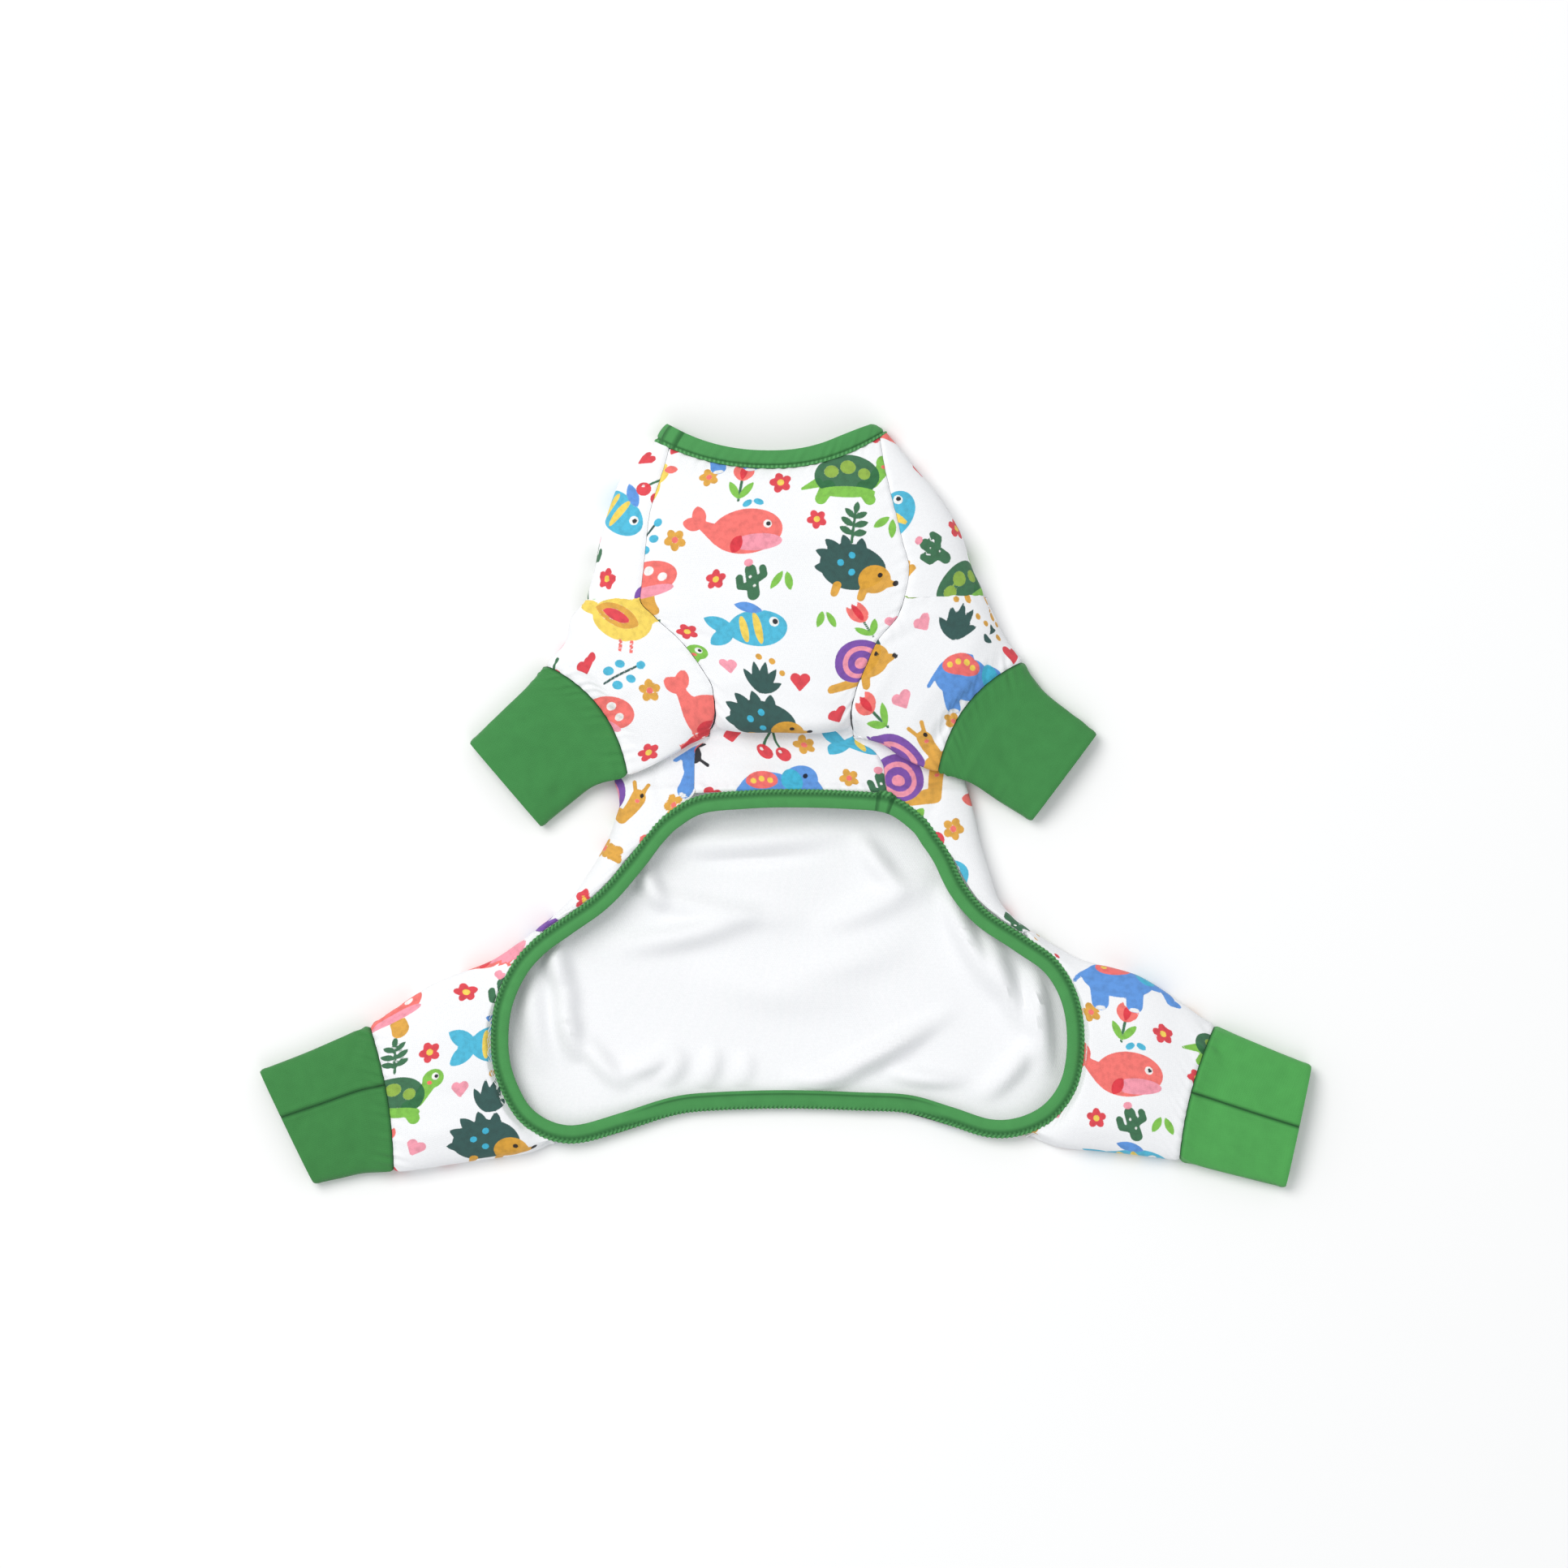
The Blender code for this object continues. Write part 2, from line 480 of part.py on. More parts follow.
def front_root(side, out):
    """Ring round an armhole: over the shoulder, down the chest seam, and back along the trunk's side."""
    shift = np.array([out * SEAM_GAP * 1.5, 0, 0])
    top = []
    first = at_row(ARM_TOP + 0.16)
    for u in np.linspace(1, 0, 7):
        top.append(top_point(first, side, u))
    for row in np.linspace(ARM_TOP + 0.3, ARM_END - 0.12, 24):
        top.append(top_point(at_row(row), side, 0) + shift)
    last = at_row(ARM_END - 0.06)
    under = []
    for u in np.linspace(0, 1, 8):
        off = np.array([out * SEAM_GAP * (1.5 - u if u < 0.1 else 2 * u), 0, SEAM_GAP * 2 * u])
        under.append(top_point(last, side, u) + off)
    for row in np.linspace(ARM_END - 0.3, ARM_TOP + 0.16, 20):
        t = at_row(row)
        under.append(np.array([t[side] + out * SEAM_GAP * 2, line_y(t, t[side]), t["side_height"] + SEAM_GAP * 2]))
    parts = (
        resample(top[:7], 4)[:-1], resample(top[6:] + under[:1], TOP_COUNT - 4)[:-1],
        resample(under[:8], 4)[:-1], resample(under[7:] + top[:1], UNDER_COUNT - 4)[:-1],
    )
    return [p for part in parts for p in part]


band_middle = trunk_xy(0, 0.86)


def band_outside(out, gap):
    """Points just outside the opening's band, on one side of the body."""
    line = band_line(160)
    found = []
    for i, p in enumerate(line):
        along = line[(i + 1) % len(line)] - line[i - 1]
        away = np.array([along[1], -along[0], 0]) / np.hypot(along[0], along[1])
        away *= np.sign(np.dot(away[:2], p[:2] - band_middle))
        if out * p[0] > 0:
            found.append(p + away * (BINDING_WIDTH / 2 + gap))
    return found


def hind_root(side, out):
    """Ring round a leg hole: along the outside of the opening's band, and back along the floor cloth's edge."""
    first = at_row(LEG_TOP + 0.18)
    away = np.array([out * SEAM_GAP * 1.5, 0, 0])
    top = [top_point(first, side, u) + away for u in np.linspace(1, 0.4, 4)]
    band = band_outside(out, SEAM_GAP * 2.3)
    low = trunk_xy(*ROOTS["hind_" + side][2:])
    band = [p for p in band if p[1] < top[-1][1] - SEAM_GAP and out * p[0] > out * low[0]]
    band.sort(key=lambda p: np.arctan2(p[1] - band_middle[1], out * (p[0] - band_middle[0])), reverse=True)
    top += band
    rows = np.linspace(LEG_TOP + 0.15, len(TRUNK) - 1, 30)
    under = [np.array([top[-1][0], top[-1][1] - SEAM_GAP, at_row(rows[-1])["side_height"]])]
    for row in rows[::-1]:
        t = at_row(row)
        under.append(np.array([t[side] + out * (SEAM_GAP + RIM_OUT / 2), line_y(t, t[side]), t["side_height"]]))
    under.append(top[0])
    parts = (
        resample(top[:4], 2)[:-1], resample(top[3:] + under[:1], TOP_COUNT - 2)[:-1],
        resample(under, UNDER_COUNT)[:-1],
    )
    return [p for part in parts for p in part]


def limb(kind, side, table, reach, root_ring):
    out = -1 if side == "left" else 1
    root = ROOTS[kind + "_" + side]
    names = ("front_sleeve_", "front_cuff_") if kind == "front" else ("hind_leg_", "hind_cuff_")

    first = root_ring(side, out)

    def ring(line):
        return limb_line(table, root, reach, out, line, first)

    steps = [first] + [between(first, ring(1), share) for share in (0.35, 0.7)]
    step_out = np.linalg.norm(np.mean(ring(CUFF_LINE + 1), axis=0) - np.mean(ring(CUFF_LINE), axis=0))
    step_in = np.linalg.norm(np.mean(ring(CUFF_LINE), axis=0) - np.mean(ring(CUFF_LINE - 1), axis=0))
    steps += [ring(line) for line in (1, 1.5, 2, 2.5, CUFF_LINE - SEAM_GAP * 0.75 / step_in)]
    tube(names[0] + side, steps, WHITE, CLOTH, square_last=True)
    ends = [ring(line) for line in (CUFF_LINE + SEAM_GAP * 0.75 / step_out, CUFF_LINE + 1, CUFF_LINE + 2, CUFF_LINE + 3)]
    tube(names[1] + side, ends, GREEN, RIB, square_first=True, square_last=True)


# Neck band
NECK_LEFT_IN, NECK_RIGHT_IN = 0.006, 0.0075  # how far the free end draws in at its two sides


def neck_ring(t, rise):
    """Ring of the neck band, rise above its seam. The band's free end is narrower than the seam, most at the right."""
    top = [top_point(t, "left", u) for u in np.linspace(1, 0, 4)]
    middle = np.linspace(t["left_edge"], t["right_edge"], 13)[1:-1]
    top += [np.array([x, line_y(t, x), crown_height(t, x)]) for x in middle]
    top += [top_point(t, "right", u) for u in np.linspace(0, 1, 4)]
    below = [corner_point(t, "right", u) for u in (0.5, 1)]
    flat = np.linspace(t["right"] - t["corner"], t["left"] + t["corner"], 13)[1:-1]
    below += [np.array([x, line_y(t, x), 0]) for x in flat]
    below += [corner_point(t, "left", u) for u in (1, 0.5)]
    ring = []
    for x, y, z in top + below:
        share = (x - t["left"]) / (t["right"] - t["left"])
        inwards = NECK_LEFT_IN * (1 - share) ** 3 - NECK_RIGHT_IN * share**3
        taper = 1 - 0.5 * max(0, (share - 0.8) / 0.2) ** 2
        ring.append(np.array([x + inwards * rise, y + SEAM_GAP + BINDING_WIDTH * rise * taper, z]))
    return ring


def neck_binding():
    t = at_row(0)
    tube("neck_binding", [neck_ring(t, rise) for rise in (0, 0.5, 1)], GREEN, RIB)


# Band round the belly opening
BINDING_STEPS = 76


def smooth_loop(points, count):
    """count points at even steps along a closed smooth curve through the given ones."""
    points = np.array(points, float)
    n = len(points)
    fine = []
    for i in range(n):
        a, b, c, d = points[i - 1], points[i], points[(i + 1) % n], points[(i + 2) % n]
        for u in np.arange(8) / 8:
            fine.append(
                0.5 * (2 * b + (c - a) * u + (2 * a - 5 * b + 4 * c - d) * u**2 + (3 * b - a - 3 * c + d) * u**3)
            )
    return resample(fine + [fine[0]], count)[:-1]


def band_line(count):
    line = [(*trunk_xy(across, station), top * LOFT) for across, station, top in BINDING]
    return smooth_loop(line, count)


def opening_binding():
    line = band_line(BINDING_STEPS)
    section = [
        (-0.5, -0.25), (-0.5, 0.2), (-0.36, 0.5), (0.36, 0.5), (0.5, 0.2), (0.5, -0.25), (0.36, -0.5), (-0.36, -0.5),
    ]
    rings = []
    for i, p in enumerate(line):
        along = line[(i + 1) % len(line)] - line[i - 1]
        along[2] = 0
        along /= np.linalg.norm(along)
        across = np.array([along[1], -along[0], 0])
        up = np.array([0, 0, 1])
        centre = p - up * BINDING_THICK / 2
        rings.append([centre + across * BINDING_WIDTH * a + up * BINDING_THICK * b for a, b in section])
    count = len(section)
    faces = []
    for i in range(len(rings)):
        for j in range(count):
            k = (j + 1) % count
            n = (i + 1) % len(rings)
            faces.append((i * count + j, i * count + k, n * count + k, n * count + j))
    return object_of("opening_binding", [p for ring in rings for p in ring], faces, GREEN, 0)


def middle_on_floor(objects):
    """Moves every mesh so that the whole stands on the floor with its middle over the origin."""
    graph = bpy.context.evaluated_depsgraph_get()
    low, high = np.full(3, np.inf), np.full(3, -np.inf)
    for obj in objects:
        mesh = obj.evaluated_get(graph).to_mesh()
        points = np.array([v.co[:] for v in mesh.vertices])
        low, high = np.minimum(low, points.min(axis=0)), np.maximum(high, points.max(axis=0))
        obj.evaluated_get(graph).to_mesh_clear()
    shift = np.array([(low[0] + high[0]) / 2, (low[1] + high[1]) / 2, low[2]])
    for obj in objects:
        for v in obj.data.vertices:
            v.co = [v.co[k] - shift[k] for k in range(3)]
    return shift


WHITE = (0.86, 0.86, 0.88)
GREEN = (0.06, 0.32, 0.08)


def main():
    for obj in list(bpy.data.objects):
        bpy.data.objects.remove(obj, do_unlink=True)
    back_panel()
    chest_panel()
    limb("front", "left", FRONT_LEFT, FRONT_REACH, front_root)
    limb("front", "right", FRONT_RIGHT, FRONT_REACH, front_root)
    limb("hind", "left", HIND_LEFT, HIND_REACH, hind_root)
    limb("hind", "right", HIND_RIGHT, HIND_REACH, hind_root)
    neck_binding()
    opening_binding()
    bpy.context.view_layer.update()
    middle_on_floor(list(bpy.context.scene.collection.objects))


main()
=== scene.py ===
"""The looks of a small dog's jumpsuit, laid flat with its belly side up: white printed jersey with green
ribbed cuffs, a green neck band, and a green overlocked band round the belly opening. Metres, +Z up, neck
towards +Y."""

import bpy
import numpy as np
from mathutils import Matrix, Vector


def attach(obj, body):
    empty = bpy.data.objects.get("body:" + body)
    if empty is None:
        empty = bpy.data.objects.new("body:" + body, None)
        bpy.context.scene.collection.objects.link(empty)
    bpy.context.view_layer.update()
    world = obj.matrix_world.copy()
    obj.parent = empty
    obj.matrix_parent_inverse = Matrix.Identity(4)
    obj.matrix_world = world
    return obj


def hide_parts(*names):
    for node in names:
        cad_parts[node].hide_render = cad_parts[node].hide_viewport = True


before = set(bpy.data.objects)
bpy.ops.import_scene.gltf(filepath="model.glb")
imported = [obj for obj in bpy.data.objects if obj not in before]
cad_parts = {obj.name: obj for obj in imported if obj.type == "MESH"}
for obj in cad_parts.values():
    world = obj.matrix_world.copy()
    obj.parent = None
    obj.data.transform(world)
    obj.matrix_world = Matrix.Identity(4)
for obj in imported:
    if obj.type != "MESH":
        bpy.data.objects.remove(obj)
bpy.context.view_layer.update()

# Sizes of the garment in metres, and the powers and shares of its curves
TRUNK_LENGTH = 0.338  # from the neck to the rump
CHEST_WIDTH = 0.1872
LOFT = 0.030  # height of the chest
FRONT_REACH = 0.0912  # the limbs' outlines are shares of these
HIND_REACH = 0.1312
CLOTH = 0.0012  # wall of the jersey
RIB = 0.0016  # wall of the cuffs and the neck band
BINDING_WIDTH = 0.0086
BINDING_THICK = 0.0027
SEAM_GAP = 0.0001  # between sewn pieces
DRAPE_GAP = 0.0008  # under cloth that only lies on cloth
FOLD_LIFT = 0.037  # a lining fold's height is a share of this
RIM_IN = 0.0022  # how far the rump's rim leans in under the band
RIM_UP = 0.0036
LEG_TUCK = 0.0004  # how far a hind leg's root reaches in past the trunk's side
FLOOR_GAP = 0.0002  # no cloth is lower than this
LIP_GRIP = 0.0004  # how far the band's outer lip holds the cloth down
LIP_RISE = 2.0  # slope of the cloth beside it
SIDE_POWER = 2.6  # how full the cross-sections are: 2 is an ellipse
CURVE_POWER = 2.2  # how late the neck's line bends
RUMP_FLAT = 0.32  # share of the rump's line that is straight
RUMP_RUN = 0.60  # share over which it bends to its sides
DRAPE_FALL = 0.014  # distance over which a sleeve sinks from the trunk to the floor
REST_POWER = 1.5  # how late a limb's underside leaves its root's line
TOP_Y = TRUNK_LENGTH / 2
# Puts the middle of the whole garment over the origin
SHIFT = (-0.0002, 0.01634, 0)

# Lines across the trunk, from the neck to the rump. The stations are shares of TRUNK_LENGTH, the places
# across are shares of CHEST_WIDTH, and the heights and the corner are shares of LOFT.
TRUNK_COLUMNS = (
    "left_station", "middle_station", "right_station", "left", "right", "left_edge", "right_edge",
    "left_crown", "right_crown", "crown", "side_height", "corner",
)
TRUNK = (
    (0.018, 0.058, 0.006, -0.342, 0.266, -0.306, 0.25, 0, 0, 0.567, 0.167, 0.2),
    (0.056, 0.08, 0.056, -0.419, 0.34, -0.325, 0.265, 0, 0, 0.733, 0.2, 0.267),
    (0.085, 0.109, 0.085, -0.444, 0.385, -0.342, 0.278, 0, 0, 0.833, 0.233, 0.3),
    (0.121, 0.136, 0.121, -0.466, 0.427, -0.357, 0.293, 0, 0, 0.933, 0.267, 0.333),
    (0.162, 0.169, 0.162, -0.485, 0.468, -0.365, 0.308, 0, 0, 1, 0.283, 0.367),
    (0.204, 0.206, 0.204, -0.5, 0.494, -0.372, 0.325, 0, 0, 1, 0.283, 0.367),
    (0.249, 0.249, 0.243, -0.521, 0.521, -0.38, 0.312, 0, 0, 1, 0.2, 0.3),
    (0.275, 0.275, 0.271, -0.502, 0.509, -0.342, 0.295, 0, 0, 1, 0.107, 0.233),
    (0.31, 0.31, 0.31, -0.487, 0.496, -0.274, 0.241, 0, 0, 1, 0.1, 0.2),
    (0.346, 0.346, 0.346, -0.472, 0.485, -0.224, 0.212, 0, 0, 0.967, 0.1, 0.2),
    (0.381, 0.381, 0.381, -0.462, 0.474, -0.19, 0.186, 0, 0, 0.917, 0.1, 0.2),
    (0.417, 0.417, 0.417, -0.451, 0.47, -0.184, 0.173, 0, 0, 0.8, 0.107, 0.2),
    (0.449, 0.449, 0.449, -0.447, 0.468, -0.2, 0.178, 0, 0, 0.4, 0.12, 0.233),
    (0.47, 0.47, 0.47, -0.449, 0.468, -0.237, 0.235, 0, 0, 0.35, 0.12, 0.233),
    (0.493, 0.493, 0.493, -0.451, 0.468, -0.239, 0.259, 0, 0, 0.35, 0.12, 0.233),
    (0.514, 0.514, 0.514, -0.449, 0.474, -0.239, 0.263, 0, 0, 0.417, 0.14, 0.233),
    (0.531, 0.522, 0.531, -0.44, 0.483, -0.241, 0.271, -0.017, 0.026, 0.533, 0.167, 0.233),
    (0.547, 0.547, 0.547, -0.436, 0.491, -0.278, 0.327, -0.145, 0.205, 0.547, 0.167, 0.233),
    (0.564, 0.564, 0.564, -0.444, 0.498, -0.321, 0.365, -0.252, 0.303, 0.543, 0.167, 0.233),
    (0.594, 0.594, 0.594, -0.462, 0.509, -0.372, 0.406, -0.359, 0.393, 0.537, 0.167, 0.233),
    (0.624, 0.624, 0.624, -0.491, 0.524, -0.415, 0.44, -0.415, 0.44, 0.533, 0.167, 0.233),
    (0.653, 0.653, 0.653, -0.526, 0.541, -0.457, 0.468, -0.457, 0.468, 0.527, 0.167, 0.233),
    (0.683, 0.683, 0.683, -0.564, 0.56, -0.513, 0.504, -0.513, 0.504, 0.517, 0.167, 0.233),
    (0.71, 0.71, 0.71, -0.611, 0.6, -0.581, 0.56, -0.581, 0.56, 0.507, 0.16, 0.2),
    (0.731, 0.731, 0.731, -0.656, 0.645, -0.637, 0.615, -0.637, 0.615, 0.5, 0.147, 0.167),
    (0.772, 0.772, 0.772, -0.701, 0.709, -0.714, 0.722, -0.714, 0.722, 0.48, 0.06, 0.167),
    (0.809, 0.809, 0.809, -0.741, 0.75, -0.754, 0.763, -0.754, 0.763, 0.473, 0.053, 0.167),
    (0.85, 0.85, 0.85, -0.763, 0.774, -0.776, 0.786, -0.776, 0.786, 0.467, 0.053, 0.167),
    (0.89, 0.89, 0.89, -0.771, 0.782, -0.784, 0.795, -0.784, 0.795, 0.453, 0.053, 0.167),
    (0.933, 0.925, 0.933, -0.763, 0.776, -0.776, 0.788, -0.776, 0.788, 0.43, 0.053, 0.167),
    (0.973, 0.953, 0.97, -0.733, 0.748, -0.748, 0.763, -0.748, 0.763, 0.373, 0.053, 0.167),
    (1.008, 0.973, 1.004, -0.688, 0.705, -0.703, 0.72, -0.703, 0.72, 0.313, 0.057, 0.167),
    (1.037, 0.988, 1.029, -0.603, 0.628, -0.618, 0.641, -0.618, 0.641, 0.233, 0.067, 0.167),
)
# Rows of TRUNK where the armholes begin and end, where the waist ends and where the leg holes begin
ARM_TOP, ARM_END, WAIST_END, LEG_TOP = 6, 12, 16, 24

# The chest cloth: rows of TRUNK, and how far its middle is pushed towards the rump (share of TRUNK_LENGTH)
# and lifted (share of LOFT), where it folds over the waist
CHEST_COLUMNS = ("row", "push", "lift")
CHEST = (
    (0, 0, 0), (1, 0, 0), (2, 0, 0), (3, 0, 0), (4, 0, 0), (5, 0, 0), (6, 0, 0), (7, 0, 0), (8, 0, 0),
    (9, 0, 0.01), (10, 0.001, 0.02), (10.5, 0.003, 0.05), (11, 0.009, 0.09), (11.25, 0.012, 0.05),
    (11.45, 0.009, 0), (11.6, -0.003, -0.053), (11.75, -0.01, -0.08), (11.9, -0.003, -0.067),
    (12.2, 0, -0.023), (12.6, 0, -0.013), (13, 0, 0), (14, 0, 0), (15, 0, 0), (16, 0, 0),
)

# Middle line of the band round the belly opening: across (share of CHEST_WIDTH), station (share of
# TRUNK_LENGTH), height of its upper side (share of LOFT)
BINDING = (
    (0.004, 0.538, 0.573), (-0.103, 0.54, 0.573), (-0.22, 0.547, 0.567), (-0.295, 0.57, 0.553),
    (-0.342, 0.596, 0.543), (-0.38, 0.624, 0.533), (-0.417, 0.649, 0.527), (-0.451, 0.671, 0.52),
    (-0.498, 0.695, 0.513), (-0.573, 0.724, 0.507), (-0.647, 0.754, 0.5), (-0.701, 0.789, 0.487),
    (-0.739, 0.837, 0.473), (-0.75, 0.89, 0.453), (-0.739, 0.937, 0.427), (-0.701, 0.985, 0.367),
    (-0.654, 1.011, 0.313), (-0.594, 1.025, 0.267), (-0.53, 1.025, 0.233), (-0.423, 1.008, 0.2),
    (-0.295, 0.986, 0.187), (-0.188, 0.979, 0.18), (0.004, 0.976, 0.18), (0.197, 0.979, 0.187),
    (0.325, 0.983, 0.193), (0.432, 1, 0.207), (0.538, 1.018, 0.24), (0.624, 1.014, 0.287),
    (0.699, 0.991, 0.347), (0.748, 0.949, 0.413), (0.763, 0.89, 0.453), (0.748, 0.831, 0.473),
    (0.699, 0.783, 0.49), (0.613, 0.748, 0.5), (0.517, 0.712, 0.51), (0.453, 0.671, 0.52),
    (0.41, 0.624, 0.533), (0.38, 0.599, 0.543), (0.346, 0.574, 0.553), (0.271, 0.547, 0.567),
    (0.154, 0.54, 0.573),
)

# Lines across each limb, from the trunk to the cuff's end. upper_ and lower_ are the two outline points of
# the line, measured from the root's points as shares of the limb's reach (across outwards, down towards the
# rump). bow is how far the line's middle stands back, also a share of the reach. top and side_height are
# shares of LOFT. The cuff's seam is at the line number CUFF_LINE.
LIMB_COLUMNS = ("upper_out", "upper_down", "lower_out", "lower_down", "bow", "top", "side_height")
CUFF_LINE = 3
FRONT_LEFT = (
    (0, 0, 0, 0, 0, 0.8, 0.1),
    (-0.092, 0.105, -0.079, 0.061, 0, 0.767, 0.133),
    (-0.11, 0.202, -0.202, 0.132, 0, 0.667, 0.15),
    (-0.224, 0.342, -0.399, 0.224, 0.096, 0.483, 0.167),
    (-0.316, 0.452, -0.57, 0.272, 0.053, 0.417, 0.167),
    (-0.482, 0.614, -0.728, 0.386, 0.018, 0.4, 0.167),
    (-0.636, 0.763, -0.868, 0.5, 0, 0.4, 0.173),
)
FRONT_RIGHT = (
    (0, 0, 0, 0, 0, 0.8, 0.1),
    (0.061, 0.101, 0.162, 0.048, 0, 0.767, 0.133),
    (0.105, 0.197, 0.276, 0.123, 0, 0.667, 0.15),
    (0.211, 0.346, 0.465, 0.202, 0.096, 0.483, 0.167),
    (0.316, 0.496, 0.627, 0.25, 0.053, 0.417, 0.167),
    (0.474, 0.627, 0.803, 0.36, 0.018, 0.4, 0.167),
    (0.614, 0.737, 0.974, 0.465, 0, 0.4, 0.173),
)
HIND_LEFT = (
    (0, 0, 0, 0, 0, 0.5, 0.1),
    (-0.152, 0.079, -0.116, 0.024, -0.082, 0.583, 0.15),
    (-0.341, 0.152, -0.345, 0.064, -0.03, 0.6, 0.167),
    (-0.595, 0.314, -0.598, 0.098, 0.024, 0.5, 0.167),
    (-0.659, 0.341, -0.695, 0.101, 0.015, 0.433, 0.167),
    (-0.829, 0.415, -0.802, 0.122, 0.006, 0.417, 0.167),
    (-1.009, 0.485, -0.899, 0.143, 0, 0.417, 0.173),
)
HIND_RIGHT = (
    (0, 0, 0, 0, 0, 0.5, 0.1),
    (0.14, 0.076, 0.137, 0.024, -0.088, 0.583, 0.15),
    (0.348, 0.134, 0.366, 0.055, -0.03, 0.6, 0.167),
    (0.646, 0.326, 0.57, 0.082, 0.024, 0.5, 0.167),
    (0.72, 0.357, 0.655, 0.104, 0.015, 0.433, 0.167),
    (0.866, 0.418, 0.808, 0.143, 0.006, 0.417, 0.167),
    (1.012, 0.476, 0.97, 0.183, 0, 0.417, 0.173),
)
# Root points of each limb: upper across, upper station, lower across, lower station
ROOTS = {
    "front_left": (-0.521, 0.251, -0.218, 0.445),
    "front_right": (0.521, 0.245, 0.173, 0.446),
    "hind_left": (-0.675, 0.746, -0.609, 1.044),
    "hind_right": (0.675, 0.742, 0.635, 1.034),
}

# Soft folds of the inside of the back: across (share of CHEST_WIDTH), station (share of TRUNK_LENGTH), angle
# in degrees, length (share of TRUNK_LENGTH), height (share of FOLD_LIFT), width (share of TRUNK_LENGTH)
FOLDS = (
    (-0.085, 0.6, 4, 0.33, 0.15, 0.034), (-0.09, 0.628, 3, 0.26, -0.05, 0.024),
    (-0.359, 0.66, -62, 0.1, 0.2, 0.026), (-0.4, 0.648, -66, 0.08, -0.1, 0.024),
    (-0.42, 0.625, 48, 0.06, 0.11, 0.026), (-0.261, 0.736, 12, 0.24, 0.21, 0.036),
    (-0.19, 0.7, -10, 0.28, 0.125, 0.034), (-0.6, 0.78, -77, 0.15, 0.27, 0.031),
    (-0.572, 0.868, -77, 0.12, 0.24, 0.03), (-0.48, 0.925, -50, 0.11, 0.15, 0.026),
    (-0.665, 0.85, -84, 0.19, 0.15, 0.034), (-0.36, 0.925, 24, 0.11, 0.13, 0.026),
    (-0.29, 0.93, 62, 0.07, 0.11, 0.024), (-0.195, 0.928, 78, 0.07, 0.11, 0.024),
    (-0.105, 0.93, 84, 0.06, 0.08, 0.024), (0.245, 0.635, -52, 0.13, 0.16, 0.03),
    (0.48, 0.745, -64, 0.2, 0.28, 0.03), (0.57, 0.8, -70, 0.19, 0.27, 0.03),
    (0.665, 0.855, -84, 0.19, 0.26, 0.03), (0.59, 0.935, 48, 0.13, 0.17, 0.028),
    (0.218, 0.915, 26, 0.22, 0.19, 0.03), (0.31, 0.89, 30, 0.2, 0.12, 0.026),
    (0.368, 0.945, -6, 0.13, 0.14, 0.024), (0.1, 0.945, 4, 0.13, 0.09, 0.024),
    (0.25, 0.69, 24, 0.22, 0.14, 0.04), (-0.017, 0.819, -8, 0.28, 0.11, 0.06),
    (0.15, 0.78, 14, 0.24, 0.1, 0.05),
)

# Creases and puffs of the upper cloth, in millimetres from the middle of the garment: across, up, angle in
# degrees, length, height, width. A negative height is a dent.
CREASES = (
    (-44, 84, -18, 34, -0.9, 4), (-58, 96, -12, 30, 0.7, 7), (-40, 66, -42, 40, 0.8, 8),
    (-52, 50, -62, 34, -0.7, 6), (-70, 60, 30, 40, 0.8, 10), (-84, 44, 48, 44, -0.8, 7),
    (52, 80, 24, 40, -0.8, 4.5), (66, 92, 14, 34, 0.7, 7), (46, 58, 60, 40, 0.8, 8),
    (78, 66, -34, 44, 0.9, 9), (86, 44, -48, 40, -0.8, 7), (-20, 62, 10, 46, 0.7, 10),
    (16, 54, -8, 50, 0.8, 9), (-4, 100, 4, 80, 0.5, 22), (-24, 136, 62, 46, 0.5, 12),
    (26, 140, -60, 46, 0.5, 12), (-10, 22, 3, 60, 0.6, 8), (-62, 8, -70, 34, -0.8, 5),
    (74, 4, 72, 34, -0.8, 5), (-164, -110, 18, 70, 1.1, 16), (-150, -140, 8, 60, -0.9, 9),
    (-170, -160, 12, 50, 0.8, 10), (160, -112, -18, 70, 1.1, 16), (170, -140, -10, 60, -0.9, 9),
    (150, -158, -8, 50, 0.8, 10), (-124, 34, 40, 60, 0.8, 14), (-110, 12, 68, 34, -1, 8),
    (-138, 22, 20, 30, -0.7, 7), (124, 36, -40, 60, 0.8, 14), (112, 16, -64, 34, -1, 8),
    (-214, -126, 64, 44, -1.1, 6), (-226, -140, 30, 50, 0.8, 10), (-240, -160, 60, 34, -0.7, 6),
    (214, -122, -60, 44, -1.1, 6), (232, -150, -20, 50, 0.8, 10), (-112, 12, 40, 30, 1, 9),
    (-132, 2, 62, 40, 0.7, 10), (-140, 34, -40, 36, 0.7, 9), (-120, 44, 20, 26, -0.7, 7),
    (112, 10, -44, 30, 1, 9), (134, 6, -60, 40, 0.7, 10), (140, 36, 42, 36, 0.7, 9),
    (-206, -118, 50, 40, 1, 9), (-218, -160, 82, 40, 0.8, 12), (206, -116, -46, 40, 1, 9),
    (218, -162, -78, 40, 0.8, 12), (-236, -128, 22, 36, -0.7, 8), (244, -136, 70, 40, -0.6, 9),
)


